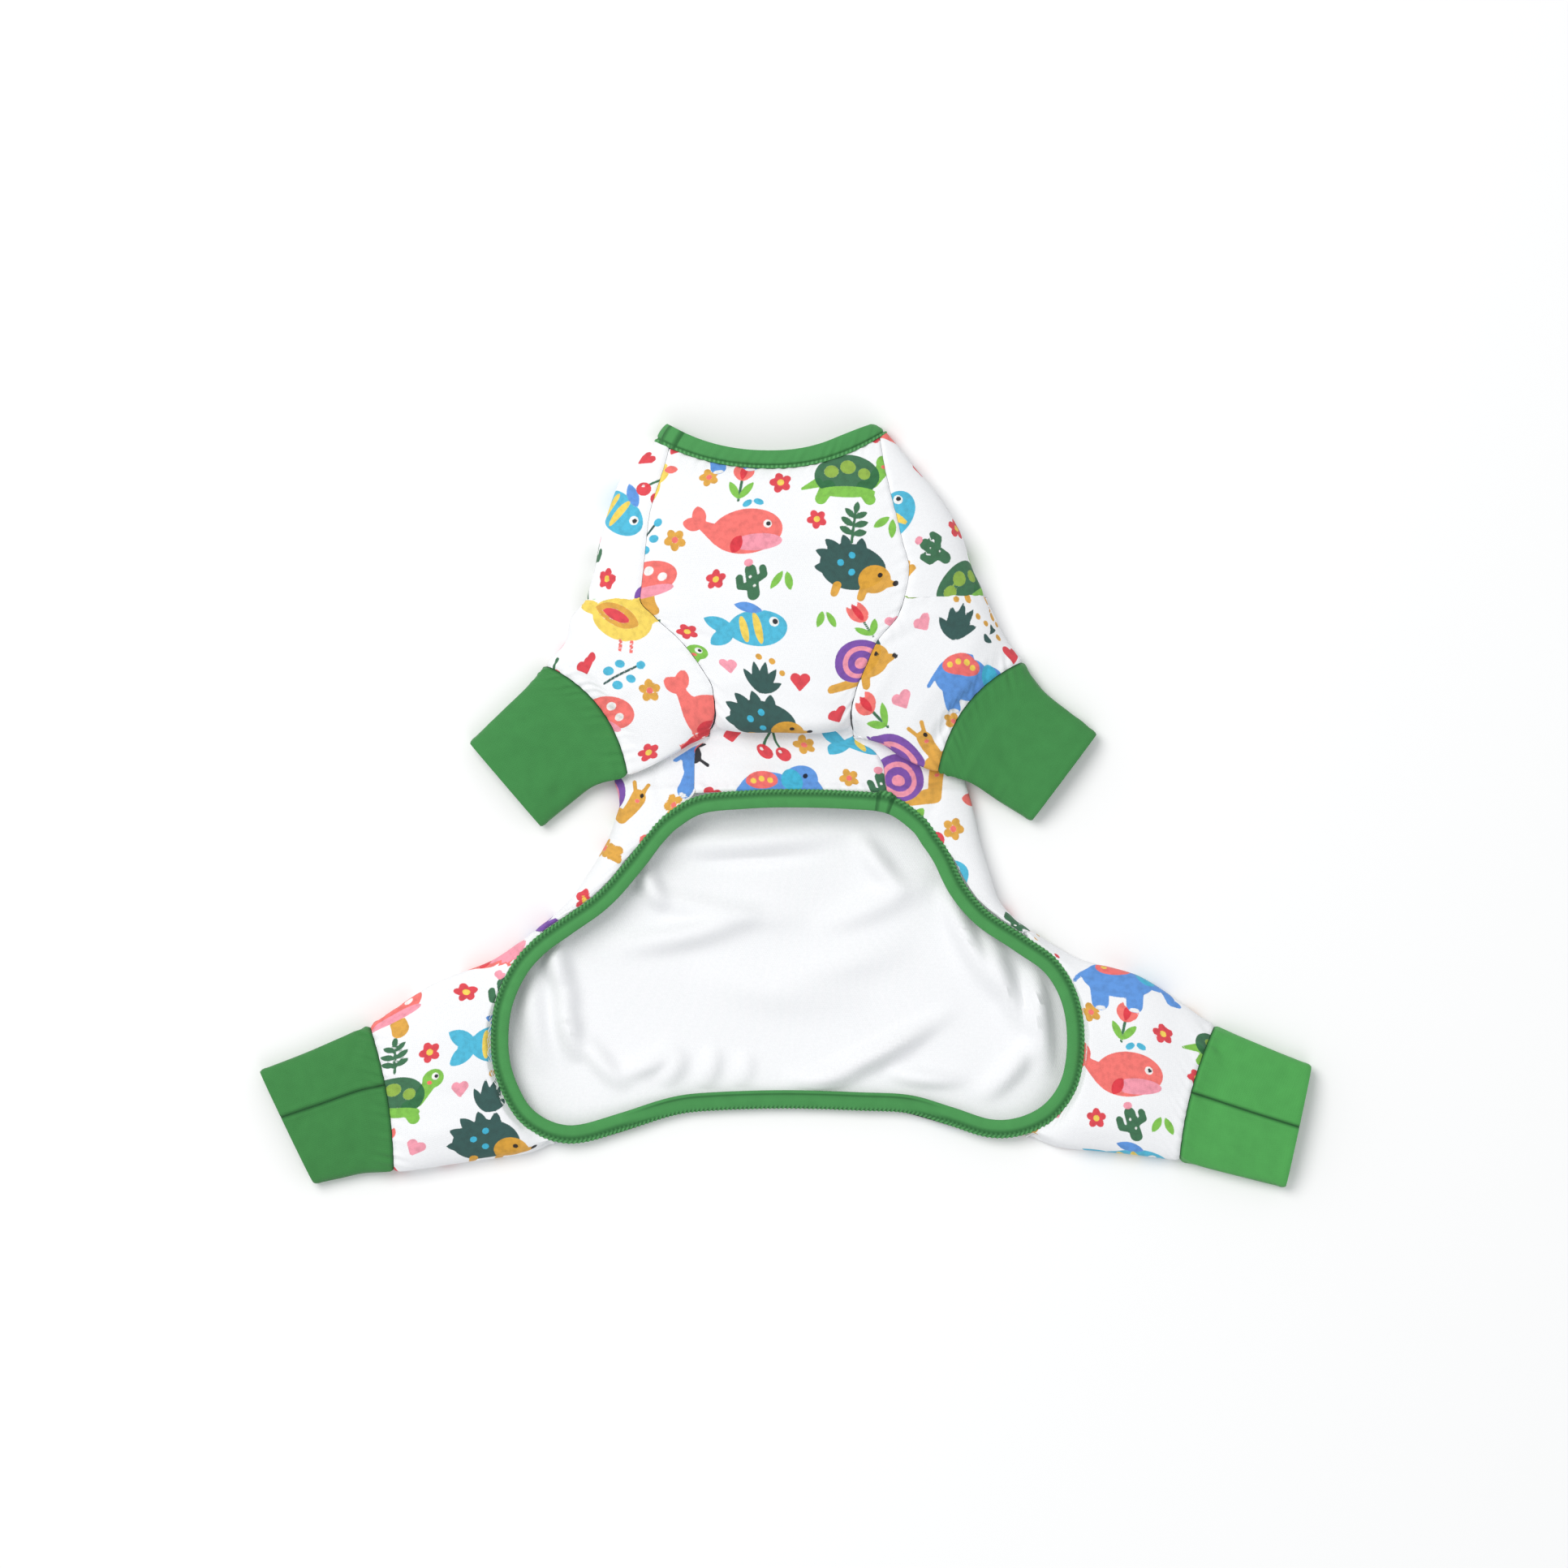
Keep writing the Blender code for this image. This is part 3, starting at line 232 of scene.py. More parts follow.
def flowing(values, at):
    """Values of a table's column between its rows, on a smooth curve that never swings past them."""
    v = np.asarray(values, float)
    step = np.diff(v)
    slope = np.zeros_like(v)
    product = step[1:] * step[:-1]
    total = step[1:] + step[:-1]
    same = product > 0
    slope[1:-1][same] = 2 * product[same] / total[same]
    slope[0] = step[0]
    slope[-1] = step[-1]
    at = np.asarray(at, float)
    i = np.clip(np.floor(at).astype(int), 0, len(v) - 2)
    s = at - i
    ahead = v[i + 1] * s * s * (3 - 2 * s) + slope[i + 1] * s * s * (s - 1)
    return v[i] * (1 + 2 * s) * (1 - s) ** 2 + slope[i] * s * (1 - s) ** 2 + ahead


def columns(names, rows):
    return dict(zip(names, np.array(rows, float).T))


TRUNK_TABLE = columns(TRUNK_COLUMNS, TRUNK)
HEIGHTS = ("crown", "side_height", "corner")  # columns of TRUNK that are shares of LOFT


def at_row(rows):
    """The trunk's sizes in metres at row numbers, which can lie between two rows of the table."""
    rows = np.asarray(rows, float)
    found = {name: flowing(values, rows) for name, values in TRUNK_TABLE.items()}
    for name in TRUNK_COLUMNS:
        if name.endswith("station"):
            found[name] = TOP_Y - found[name] * TRUNK_LENGTH
        else:
            found[name] = found[name] * (LOFT if name in HEIGHTS else CHEST_WIDTH)
    found["row"] = rows
    return found


def trunk_xy(across, station):
    return np.array([across * CHEST_WIDTH, TOP_Y - station * TRUNK_LENGTH])


def point(x, y, z):
    return np.stack(np.broadcast_arrays(x, y, z), axis=-1)


def line_y(t, x):
    """The y of a trunk line at x: straight in the middle of the body, curved at the neck and at the rump."""
    middle = (t["left"] + t["right"]) / 2
    half = (t["right"] - t["left"]) / 2
    s = (x - middle) / half
    side = np.where(s < 0, t["left_station"], t["right_station"])
    s = np.minimum(np.abs(s), 1)
    run = np.clip((s - RUMP_FLAT) / RUMP_RUN, 0, 1)
    rump = 1 - run * run * (3 - 2 * run)
    return side + (t["middle_station"] - side) * np.where(t["row"] > LEG_TOP, rump, 1 - s**CURVE_POWER)


def top_point(t, side, u):
    """A point of the upper cloth on the left or right side: u is 0 at the seam's edge and 1 at the side."""
    out = t[side]
    crown = t[side + "_crown"]
    start = np.clip((t[side + "_edge"] - crown) / (out - crown), 0, 1)
    first = np.arcsin(start ** (SIDE_POWER / 2))
    angle = first + (np.pi / 2 - first) * u
    x = crown + (out - crown) * np.sin(angle) ** (2 / SIDE_POWER)
    rise = np.clip(np.cos(angle), 0, 1) ** (2 / SIDE_POWER)
    return point(x, line_y(t, x), t["side_height"] + (t["crown"] - t["side_height"]) * rise)


def crown_height(t, x):
    """Height of the upper cloth's outside at x."""
    left = x < (t["left"] + t["right"]) / 2
    side = np.where(left, t["left"], t["right"])
    crown = np.where(left, t["left_crown"], t["right_crown"])
    s = np.clip((x - crown) / (side - crown), 0, 1)
    return t["side_height"] + (t["crown"] - t["side_height"]) * (1 - s**SIDE_POWER) ** (1 / SIDE_POWER)


def corner_point(t, side, u):
    """A point of the rounded lower edge: u is 0 at the trunk's side and 1 on the floor."""
    inwards = 1 if side == "left" else -1
    x = t[side] + inwards * t["corner"] * (1 - np.cos(u * np.pi / 2))
    return point(x, line_y(t, x), t["side_height"] * (1 - np.sin(u * np.pi / 2)))


RIDGE_BEND = 0.35  # how far a ridge's ends bow aside, as a share of half its width
FOLD_RANGE = (-0.001, 0.02)  # the lining's folds stay between these heights
WAVES = 7


def ridges(table, x, y):
    """Summed heights of soft ridges: across, up, angle, length, height and width, all in one unit."""
    height = np.zeros(np.broadcast(x, y).shape)
    for across, up, angle, length, rise, width in table:
        turn = np.radians(angle)
        dx = x - across
        dy = y - up
        along = (dx * np.cos(turn) + dy * np.sin(turn)) / (length / 2)
        off = (dy * np.cos(turn) - dx * np.sin(turn)) / (width / 2)
        bend = off - RIDGE_BEND * along**2
        height += rise * np.exp(-(bend**2)) * np.clip(1 - along**2, 0, 1) ** 1.5
    return height


def creased(points, seed, size, height):
    """Height of the creases, puffs and gentle unevenness over a grid of points."""
    x, y = points[..., 0] + SHIFT[0], points[..., 1] + SHIFT[1]
    return ridges(CREASES, x * 1000, y * 1000) / 1000 + ripple(x, y, seed, size, height)


def fold_height(x, y):
    """Height of the lining's folds over the floor plan."""
    table = [
        (*trunk_xy(across, station), turn, length * TRUNK_LENGTH, rise * FOLD_LIFT, width * TRUNK_LENGTH)
        for across, station, turn, length, rise, width in FOLDS
    ]
    return np.clip(ridges(table, x, y), *FOLD_RANGE)


def ripple(x, y, seed, size, height):
    """Gentle unevenness of cloth that was smoothed by hand: a few long waves that cross."""
    chance = np.random.default_rng(seed)
    total = np.zeros(np.broadcast(x, y).shape)
    for k in range(WAVES):
        turn = chance.uniform(0, np.pi)
        wave = size * chance.uniform(0.6, 1.6)
        total += np.sin((x * np.cos(turn) + y * np.sin(turn)) * 2 * np.pi / wave + chance.uniform(0, 6.3))
    return total * height / 3


def lengths(points, axis):
    """Distance run along a grid of points, from its first line."""
    step = np.linalg.norm(np.diff(points, axis=axis), axis=-1)
    start = np.zeros_like(np.take(step, [0], axis=axis))
    return np.concatenate([start, np.cumsum(step, axis=axis)], axis=axis)


def facing(points):
    """Unit normals of a grid of points, towards the side that its faces will show."""
    normal = np.cross(np.gradient(points, axis=1), np.gradient(points, axis=0))
    return normal / np.maximum(np.linalg.norm(normal, axis=-1, keepdims=True), 1e-12)


# How each kind of seam shapes the cloth beside it, in metres: depth and width of its dip, then height, pitch
# and reach of its puckers
SEAMS = {
    "side": (0.0009, 0.0022, 0.00022, 0.0075, 0.006),
    "waist": (0.0007, 0.0020, 0.00020, 0.0060, 0.005),
    "limb": (0.0009, 0.0022, 0.00025, 0.0075, 0.006),
    "sleeve_end": (0.0010, 0.0026, 0.00030, 0.0058, 0.007),
    "cuff": (0.0011, 0.0024, 0.00035, 0.0058, 0.009),
    "hem": (0.0006, 0.0014, 0, 1, 1),
    "neck": (0, 1, 0.00012, 0.0060, 0.010),
}


def seamed(kind, run, distance):
    """Height of the cloth beside a seam: it is pulled down, and the thread leaves small gathers."""
    dip, width, pucker, pitch, reach = SEAMS[kind]
    wave = np.sin(run / pitch * 2 * np.pi + 1.7 * np.sin(run / pitch * 0.9))
    wave = wave + 0.5 * np.sin(run / pitch * 9.1 + 2)
    return pucker * wave * bell(distance, reach) - dip * np.clip(1 - distance / width, 0, 1) ** 2


def bell(distance, width):
    """1 on a line, and fading to nothing beside it."""
    return np.exp(-((distance / width) ** 2))


def raised(points, lift):
    """A grid of points moved out along its normals."""
    return points + facing(points) * lift[..., None]


def faces_inwards(points, middle):
    return ((points - middle) * facing(points)).sum() < 0


def runs(points):
    """Distances round a grid of points, and down it."""
    return lengths(points, 1), lengths(points, 0)


def spread(values, rows, cols, shape):
    """Values at chosen rows and columns of a grid, carried over evenly to the whole grid."""
    along = np.stack([np.interp(np.arange(shape[0]), rows, column) for column in values.T], axis=1)
    return np.stack([np.interp(np.arange(shape[1]), cols, line) for line in along])


COARSE = 5  # the first pulls use every so many rows and columns
COARSE_ROUNDS = 500
FINE_ROUNDS = 60
PULL = 1.5  # how far past the mean pull each point moves


def pulled(points, flat, alive, rounds):
    """Pulls the flat cloth's points apart or together until their distances match the shaped cloth's."""
    ties = []
    for down, across in ((0, 1), (1, 0), (1, 1), (1, -1)):
        first = (slice(0, len(flat) - down), slice(max(0, -across), flat.shape[1] - max(0, across)))
        second = (slice(down, None), slice(max(0, across), flat.shape[1] + min(0, across)))
        goal = np.linalg.norm(points[second] - points[first], axis=-1)
        ties.append((first, second, goal, 1.0 * (alive[first] & alive[second])))
    for turn in range(rounds):
        move = np.zeros_like(flat)
        count = np.full(flat.shape[:2], 1e-9)
        for first, second, goal, weight in ties:
            gap = flat[second] - flat[first]
            size = np.linalg.norm(gap, axis=-1)
            pull = gap * ((size - goal) / np.maximum(size, 1e-9) * 0.5 * weight)[..., None]
            move[first] += pull
            move[second] -= pull
            count[first] += weight
            count[second] += weight
        flat = flat + PULL * move / count[..., None]
    return flat


def flattened(points, flat, keep=None):
    """Lays the shaped cloth out flat with little stretch, first roughly and then finely. flat is a guess."""
    shape = flat.shape[:2]
    alive = np.ones(shape, bool)
    if keep is not None:
        alive[:] = False
        for down, across in ((0, 0), (0, 1), (1, 0), (1, 1)):
            alive[down : shape[0] - 1 + down, across : shape[1] - 1 + across] |= keep
    rows = np.unique(np.append(np.arange(0, shape[0], COARSE), shape[0] - 1))
    cols = np.unique(np.append(np.arange(0, shape[1], COARSE), shape[1] - 1))
    few = np.ix_(rows, cols)
    rough = pulled(points[few], flat[few], alive[few], COARSE_ROUNDS)
    shift = rough - flat[few]
    flat = flat + np.stack([spread(shift[..., k], rows, cols, shape) for k in range(2)], axis=-1)
    return pulled(points, flat, alive, FINE_ROUNDS)


def even_steps(points, count):
    """Places, as line numbers of a fine grid, that are evenly spaced along its middle."""
    run = lengths(points, 0)[:, points.shape[1] // 2]
    return np.interp(np.linspace(0, run[-1], count), run, np.arange(len(run)))


# The printed pattern. Inks lie in this order, the last on top.
INKS = (
    ("olive", (0.266, 0.440, 0.048)),
    ("lime", (0.205, 0.533, 0.058)),
    ("leaf", (0.030, 0.150, 0.062)),
    ("teal", (0.016, 0.080, 0.070)),
    ("blue", (0.098, 0.296, 0.730)),
    ("sky", (0.060, 0.470, 0.680)),
    ("violet", (0.190, 0.066, 0.386)),
    ("coral", (0.896, 0.166, 0.145)),
    ("red", (0.730, 0.046, 0.066)),
    ("pink", (0.900, 0.330, 0.420)),
    ("ochre", (0.730, 0.370, 0.045)),
    ("yellow", (0.890, 0.650, 0.100)),
    ("pale", (0.900, 0.900, 0.880)),
    ("dark", (0.012, 0.014, 0.020)),
)
INK_NAMES = [ink for ink, tint in INKS]


def petals(ink, heart):
    """Five petals round a heart."""
    turns = np.radians(np.arange(5) * 72)
    places = zip(np.round(3.3 * np.sin(turns), 1), np.round(3.3 * np.cos(turns), 1), np.arange(5) * -72)
    return (ink, "oval", *((x, y, 1.9, 2.2, turn) for x, y, turn in places)), (heart, "dot", (0, 0, 1.6))


def two_lobes(ink):
    return ((ink, "bar", *((x, 1.8, 0, -3.6, 2.5, 0.6) for x in (-2.3, 2.3))),)


# Each motif's shapes in millimetres, the last on top. An oval has its middle, half width, half height and
# turn; a dot its middle and radius; a bar its two ends and their radii; a leaf its two tips and half width; a
# ring its middle, radius and half width.
MOTIFS = {
    "turtle": (
        ("lime", "bar", (-9, -5, -12, -11, 3.4, 2.8), (8, -5, 11, -11, 3.4, 2.8),
         (-14, -3, -21, -6, 2.4, 0.6), (12, -2, 18, 6, 3.2, 3.2)),
        ("lime", "oval", (19.5, 8, 5.2, 4.5, 15)),
        ("leaf", "oval", (0, 1, 15.5, 11)),
        ("lime", "oval", (0, -7.4, 13.6, 2.8)),
        ("olive", "oval", (-7.5, 3, 3.5, 3.3), (0.5, 5.4, 3.8, 3.6)),
        ("olive", "dot", (8.2, 2, 3)),
        ("pale", "dot", (20.6, 9, 1.7)),
        ("dark", "dot", (21.1, 9, 0.9)),
        ("coral", "oval", (17.8, 6.2, 1.3, 0.9)),
    ),
    "elephant": (
        ("blue", "oval", (-3, 0, 14.5, 10.5)),
        ("blue", "bar", (-11, -6, -11, -14, 3.8, 3.6), (4, -6, 4, -14, 3.8, 3.6)),
        ("blue", "oval", (12, 5, 8.4, 7.6)),
        ("blue", "bar", (17, 3, 21, -6, 3.2, 2.2), (21, -6, 24.5, -6, 2.2, 1.6), (-16, 3, -21, -3, 1, 0.8)),
        ("coral", "oval", (-6, 6.2, 7.6, 4.6, 8)),
        ("yellow", "dot", (-10, 6, 1.3), (-6, 7.2, 1.3), (-2, 6.6, 1.3)),
        ("sky", "oval", (8.2, 5.4, 4.8, 6.2, 14)),
        ("pale", "oval", (-11, -16.4, 2.4, 0.9), (4, -16.4, 2.4, 0.9)),
        ("dark", "dot", (14.8, 7.2, 1.1)),
    ),
    "whale": (
        ("coral", "oval", (1, 0, 17, 10.6)),
        ("coral", "bar", (-12, 0, -20, 7, 5, 2)),
        ("coral", "leaf", (-28, 9, -19, 6, 3.2), (-20, 16, -19.6, 6, 3.2)),
        ("pink", "oval", (5, -6, 11.6, 3.8, -4)),
        ("red", "leaf", (-2, -2, -8, -9, 2.6)),
        ("sky", "oval", (3.4, 13.4, 2.4, 1.4, 28), (8.8, 13.4, 2.4, 1.4, -28)),
        ("pale", "dot", (11.4, 1.8, 1.9)),
        ("dark", "dot", (11.8, 1.8, 1)),
    ),
    "snail": (
        ("ochre", "bar", (-18, -9, 12, -9, 2, 3.4), (12, -9, 16.5, 2, 3.2, 3.6), (15, 3, 13, 9, 0.8, 0.9),
         (18, 3, 20, 9, 0.8, 0.9)),
        ("violet", "oval", (-3, 2, 12.4, 11.6)),
        ("pink", "ring", (-3, 1.4, 7.6, 1.1)),
        ("pink", "dot", (-3, 1, 3)),
        ("dark", "dot", (18, 3.2, 1)),
        ("coral", "oval", (16.2, 0.4, 1.3, 0.9)),
    ),
    "bird": (
        ("yellow", "leaf", (-22, 8, -8, 0, 3.4)),
        ("yellow", "oval", (-1, 0, 12.6, 9.6, 12), (10, 7.6, 6.4, 6)),
        ("coral", "leaf", (14, 8.2, 20.5, 7, 2)),
        ("ochre", "leaf", (-12, 3.6, 6, -1, 5.2)),
        ("red", "leaf", (-9, 2.6, 2, -0.4, 2.6)),
        ("coral", "bar", (-2, -9, -2, -14, 0.7, 0.7), (3, -9, 3, -14, 0.7, 0.7)),
        ("dark", "dot", (11.4, 8.8, 1.1)),
    ),
    "hedgehog": (
        ("teal", "oval", (-3, 1, 15.6, 10.8)),
        ("teal", "leaf", (-21, 6, -9, 3, 2.6), (-17, 12, -7, 5, 2.6), (-9, 15.5, -4, 5, 2.6),
         (0, 15.5, 0, 5, 2.6), (-21, -2, -9, -1, 2.6)),
        ("ochre", "oval", (8.6, -3, 7.6, 6.6)),
        ("ochre", "bar", (12, -4, 18, -3.4, 3.2, 1.2), (-8, -9, -8, -12.4, 2, 1.8),
         (5, -9, 5, -12.4, 2, 1.8)),
        ("sky", "dot", (-9, 2, 1.5), (-4, 6.4, 1.5), (-3, -1.6, 1.5)),
        ("dark", "dot", (19, -3, 1.3), (10.6, -0.6, 1.1)),
    ),
    "fish": (
        ("sky", "oval", (1, 0, 14, 8.8)),
        ("sky", "leaf", (-23, 8, -10, -1, 3.8), (-23, -8, -10, 1, 3.8)),
        ("blue", "leaf", (-6, 13, 6, 8, 2.6)),
        ("yellow", "oval", (-5.4, 0, 1.8, 6.6), (1.2, 0, 1.8, 7.6)),
        ("pale", "dot", (9.4, 2.2, 2.2)),
        ("dark", "dot", (9.9, 2.2, 1.2)),
    ),
    "butterfly": (
        ("violet", "oval", (-9, 5.6, 8.6, 7, -28), (9, 5.6, 8.6, 7, 28)),
        ("blue", "oval", (-6.6, -6.4, 6, 5.2, 24), (6.6, -6.4, 6, 5.2, -24)),
        ("pink", "oval", (-10, 6.2, 3.6, 2.8, -28), (10, 6.2, 3.6, 2.8, 28)),
        ("yellow", "dot", (-6.6, -6.6, 2), (6.6, -6.6, 2)),
        ("dark", "bar", (0, 7, 0, -9, 1.6, 1), (0.4, 8, 3.4, 13, 0.5, 0.6), (-0.4, 8, -3.4, 13, 0.5, 0.6)),
    ),
    "caterpillar": (
        ("olive", "dot", (-19, -2.6, 4.8)),
        ("lime", "dot", (-12, 0.6, 5.4)),
        ("olive", "dot", (-4, -1.6, 5.8)),
        ("lime", "dot", (4.4, 0.4, 5.8)),
        ("red", "dot", (13, 2.4, 6.6)),
        ("leaf", "bar", (11, 8, 8.6, 13, 0.7, 0.9), (15, 8, 17.4, 13, 0.7, 0.9)),
        ("pale", "dot", (15.4, 3.6, 1.9)),
        ("dark", "dot", (15.9, 3.6, 1)),
    ),
    "ladybird": (
        ("dark", "oval", (11, 0, 5.4, 5.8)),
        ("red", "oval", (0, 0, 13.4, 11)),
        ("dark", "bar", (-12.6, 0, 11, 0, 0.6, 0.6)),
        ("dark", "dot", (-5, 5, 2.3), (-5, -5, 2.3), (4, 5.4, 2.1), (4, -5.4, 2.1)),
        ("dark", "bar", (15, 3, 19, 6, 0.6, 0.7), (15, -3, 19, -6, 0.6, 0.7)),
    ),
    "mushroom": (
        ("ochre", "bar", (0, 0, 0, -11, 3, 4.2)),
        ("coral", "oval", (0, 4, 14.4, 8.6)),
        ("pink", "oval", (0, -2, 12.6, 2.6)),
        ("pale", "oval", (-7, 5.4, 2.3, 2.1), (1.4, 8, 2.3, 2.1), (7.6, 3.8, 2.1, 1.9)),
    ),
    "fern": (
        ("leaf", "bar", (0, -12, 0, 9, 0.7, 0.5)),
        ("leaf", "leaf", (0, -7, 8, -4, 1.9), (0, -7, -8, -4, 1.9), (0, -2, 8, 2, 1.9),
         (0, -2, -8, 2, 1.9), (0, 3, 6.6, 8, 1.7), (0, 3, -6.6, 8, 1.7), (0, 6, 0, 13.4, 1.7)),
    ),
    "fan": (
        ("teal", "leaf", (0, -10, -11, 1, 2.4), (0, -10, -6, 8, 2.5), (0, -10, 0.6, 10, 2.5),
         (0, -10, 7, 7.4, 2.5), (0, -10, 11, 0, 2.4)),
        ("ochre", "dot", (-3.4, 12, 1.8), (4.2, 11.6, 1.8), (10.6, 6.2, 1.6)),
    ),
    "cactus": (
        ("leaf", "bar", (0, -9, 0, 6, 3.4, 3.2), (-7, -2, -7, 3, 2, 2), (-7, -2, -2, -4, 2, 2),
         (7, 1, 7, 5, 2, 2), (7, 1, 2, -1, 2, 2)),
        ("pink", "oval", (0, 10.4, 2.6, 2)),
        ("pale", "dot", (-0.8, 2, 0.8), (1, -4, 0.8)),
    ),
    "tulip": (
        ("leaf", "bar", (0, -12, 0, 2, 0.7, 0.7)),
        ("lime", "leaf", (0, -11, -7, -1, 2.1), (0, -11, 7, 0, 2.1)),
        ("coral", "oval", (0, 5.4, 4.8, 5)),
        ("coral", "leaf", (-4.6, 3, -3.8, 12, 1.8), (4.6, 3, 3.8, 12, 1.8)),
        ("red", "leaf", (0, 1, 0, 12.4, 2)),
    ),
    "cherries": (
        ("leaf", "bar", (-5, -4, 1, 8, 0.6, 0.6), (5, -5, 1, 8, 0.6, 0.6)),
        ("lime", "leaf", (1, 8, 10, 10, 2.4)),
        ("red", "dot", (-5.2, -6.2, 4.2), (5, -7.2, 4.2)),
        ("pale", "dot", (-6.6, -4.6, 0.9), (3.6, -5.6, 0.9)),
    ),
    "sprig": (
        ("teal", "bar", (-6, -9, 5, 10, 0.6, 0.5)),
        ("sky", "oval", (-7.6, -2, 3, 2.4, 30), (1.2, -6.2, 3, 2.4, 20), (-4, 5, 2.8, 2.2, 30),
         (5.6, 1.4, 2.8, 2.2, 20), (6.2, 11.4, 2.6, 2.2, 60)),
    ),
    "flower": petals("red", "yellow"),
    "blossom": petals("ochre", "coral"),
    "heart": two_lobes("pink"),
    "red_heart": two_lobes("red"),
    "leaves": (
        ("lime", "leaf", (-5, -4, -1, 5, 1.8), (5, -4, 1, 5, 1.8)),
    ),
}

# The print's repeat, in millimetres: four columns and four rows of large motifs, every second column half a
# row higher, with a plant between two rows and a small motif on both sides of each plant.
REPEAT_WIDE = 208
REPEAT_HIGH = 200
LARGE = (
    ("turtle", "fish", "snail", "elephant"),
    ("mushroom", "whale", "hedgehog", "caterpillar"),
    ("bird", "elephant", "turtle", "butterfly"),
    ("ladybird", "hedgehog", "fish", "whale"),
)
PLANTS = (
    ("fern", "cactus", "tulip", "fan"),
    ("sprig", "tulip", "fern", "cherries"),
    ("fan", "cherries", "cactus", "sprig"),
    ("tulip", "fan", "cherries", "fern"),
)
SMALL = ("flower", "heart", "blossom", "leaves", "red_heart")
LARGE_SIZE = 1.04
PLANT_SIZE = 0.84
LARGEST = (34, 28)  # no motif reaches farther than this from its middle, across and up
INK_REACH = 3.0  # distances to a shape's edge are kept up to this
INK_SPREAD = 0.12  # how far ink runs past a shape's edge

# Where each piece was cut from the printed cloth: across and along in millimetres, and the turn in degrees
PRINT_LAY = {
    "back_panel": (17, 11, 4),
    "chest_panel": (63, 30, -3),
    "front_sleeve_left": (20, 96, 150),
    "front_sleeve_right": (120, 47, -140),
    "hind_leg_left": (70, 20, 100),
    "hind_leg_right": (12, 84, -96),
}


def turned(x, y, degrees, size=1):
    """Places seen along axes that are turned by some degrees, and in units of a size."""
    c, s = np.cos(np.radians(degrees)) / size, np.sin(np.radians(degrees)) / size
    return x * c + y * s, y * c - x * s


def oval(x, y, middle_x, middle_y, wide, high, turn=0):
    a, b = turned(x - middle_x, y - middle_y, turn)
    size = np.hypot(a / wide, b / high)
    return size * (size - 1) / np.maximum(np.hypot(a / wide**2, b / high**2), 1e-6)


def dot(x, y, middle_x, middle_y, radius):
    return oval(x, y, middle_x, middle_y, radius, radius)


def bar(x, y, x1, y1, x2, y2, first, last):
    dx, dy = x2 - x1, y2 - y1
    share = np.clip(((x - x1) * dx + (y - y1) * dy) / (dx * dx + dy * dy), 0, 1)
    return np.hypot(x - x1 - dx * share, y - y1 - dy * share) - (first + (last - first) * share)


def leaf(x, y, x1, y1, x2, y2, half):
    long = np.hypot(x2 - x1, y2 - y1) / 2
    c, s = (x2 - x1) / (2 * long), (y2 - y1) / (2 * long)
    dx, dy = x - (x1 + x2) / 2, y - (y1 + y2) / 2
    round_by = (long * long + half * half) / (2 * half)
    return np.hypot(dx * c + dy * s, np.abs(dy * c - dx * s) + round_by - half) - round_by


def ring(x, y, middle_x, middle_y, radius, half):
    return np.abs(np.hypot(x - middle_x, y - middle_y) - radius) - half


SHAPES = {"oval": oval, "dot": dot, "bar": bar, "leaf": leaf, "ring": ring}


def motif_places():
    """Every motif of one repeat: its name, middle, turn and size."""
    chance = np.random.default_rng(14)
    found = []
    wide, high = REPEAT_WIDE / 4, REPEAT_HIGH / 4
    for row in range(4):
        for col in range(4):
            x = col * wide
            y = row * high + (high / 2 if col % 2 else 0)
            shift = chance.uniform(-1.5, 1.5, 4)
            small = (row * 7 + col * 3) % 5
            beside = y + high / 2
            for name, across, up, lean, size in (
                (LARGE[row][col], x + shift[0], y + shift[1], 14, LARGE_SIZE),
                (PLANTS[row][col], x + shift[2], beside, 25, PLANT_SIZE),
                (SMALL[small], x + 17 + shift[3], beside - 2, 40, 1.0),
                (SMALL[(small + 2) % 5], x - 17, beside + 3 + shift[3], 40, 0.9),
            ):
                found.append((name, across, up, chance.uniform(-lean, lean), size))
    return found


def printed(flow, name):
    """For each ink, how far each point of the cloth is from its shapes, in millimetres, negative inside."""
    across, along, turn = PRINT_LAY[name]
    x, y = turned(flow[..., 0] * 1000, flow[..., 1] * 1000, -turn)
    x, y = x + across, y + along
    fields = {ink: np.full(x.shape, INK_REACH) for ink in INK_NAMES}
    for motif, middle_x, middle_y, lean, size in motif_places():
        dx = (x - middle_x + REPEAT_WIDE / 2) % REPEAT_WIDE - REPEAT_WIDE / 2
        dy = (y - middle_y + REPEAT_HIGH / 2) % REPEAT_HIGH - REPEAT_HIGH / 2
        near = (np.abs(dx) < LARGEST[0]) & (np.abs(dy) < LARGEST[1])
        px, py = turned(dx[near], dy[near], lean, size)
        for ink, shape, *rows in MOTIFS[motif]:
            for row in rows:
                d = np.clip(SHAPES[shape](px, py, *row) * size, -INK_REACH, INK_REACH)
                for above in INK_NAMES[INK_NAMES.index(ink) + 1 :]:
                    fields[above][near] = np.maximum(fields[above][near], -d)
                fields[ink][near] = np.minimum(fields[ink][near], d - INK_SPREAD)
    return {"ink_" + ink: field for ink, field in fields.items()}


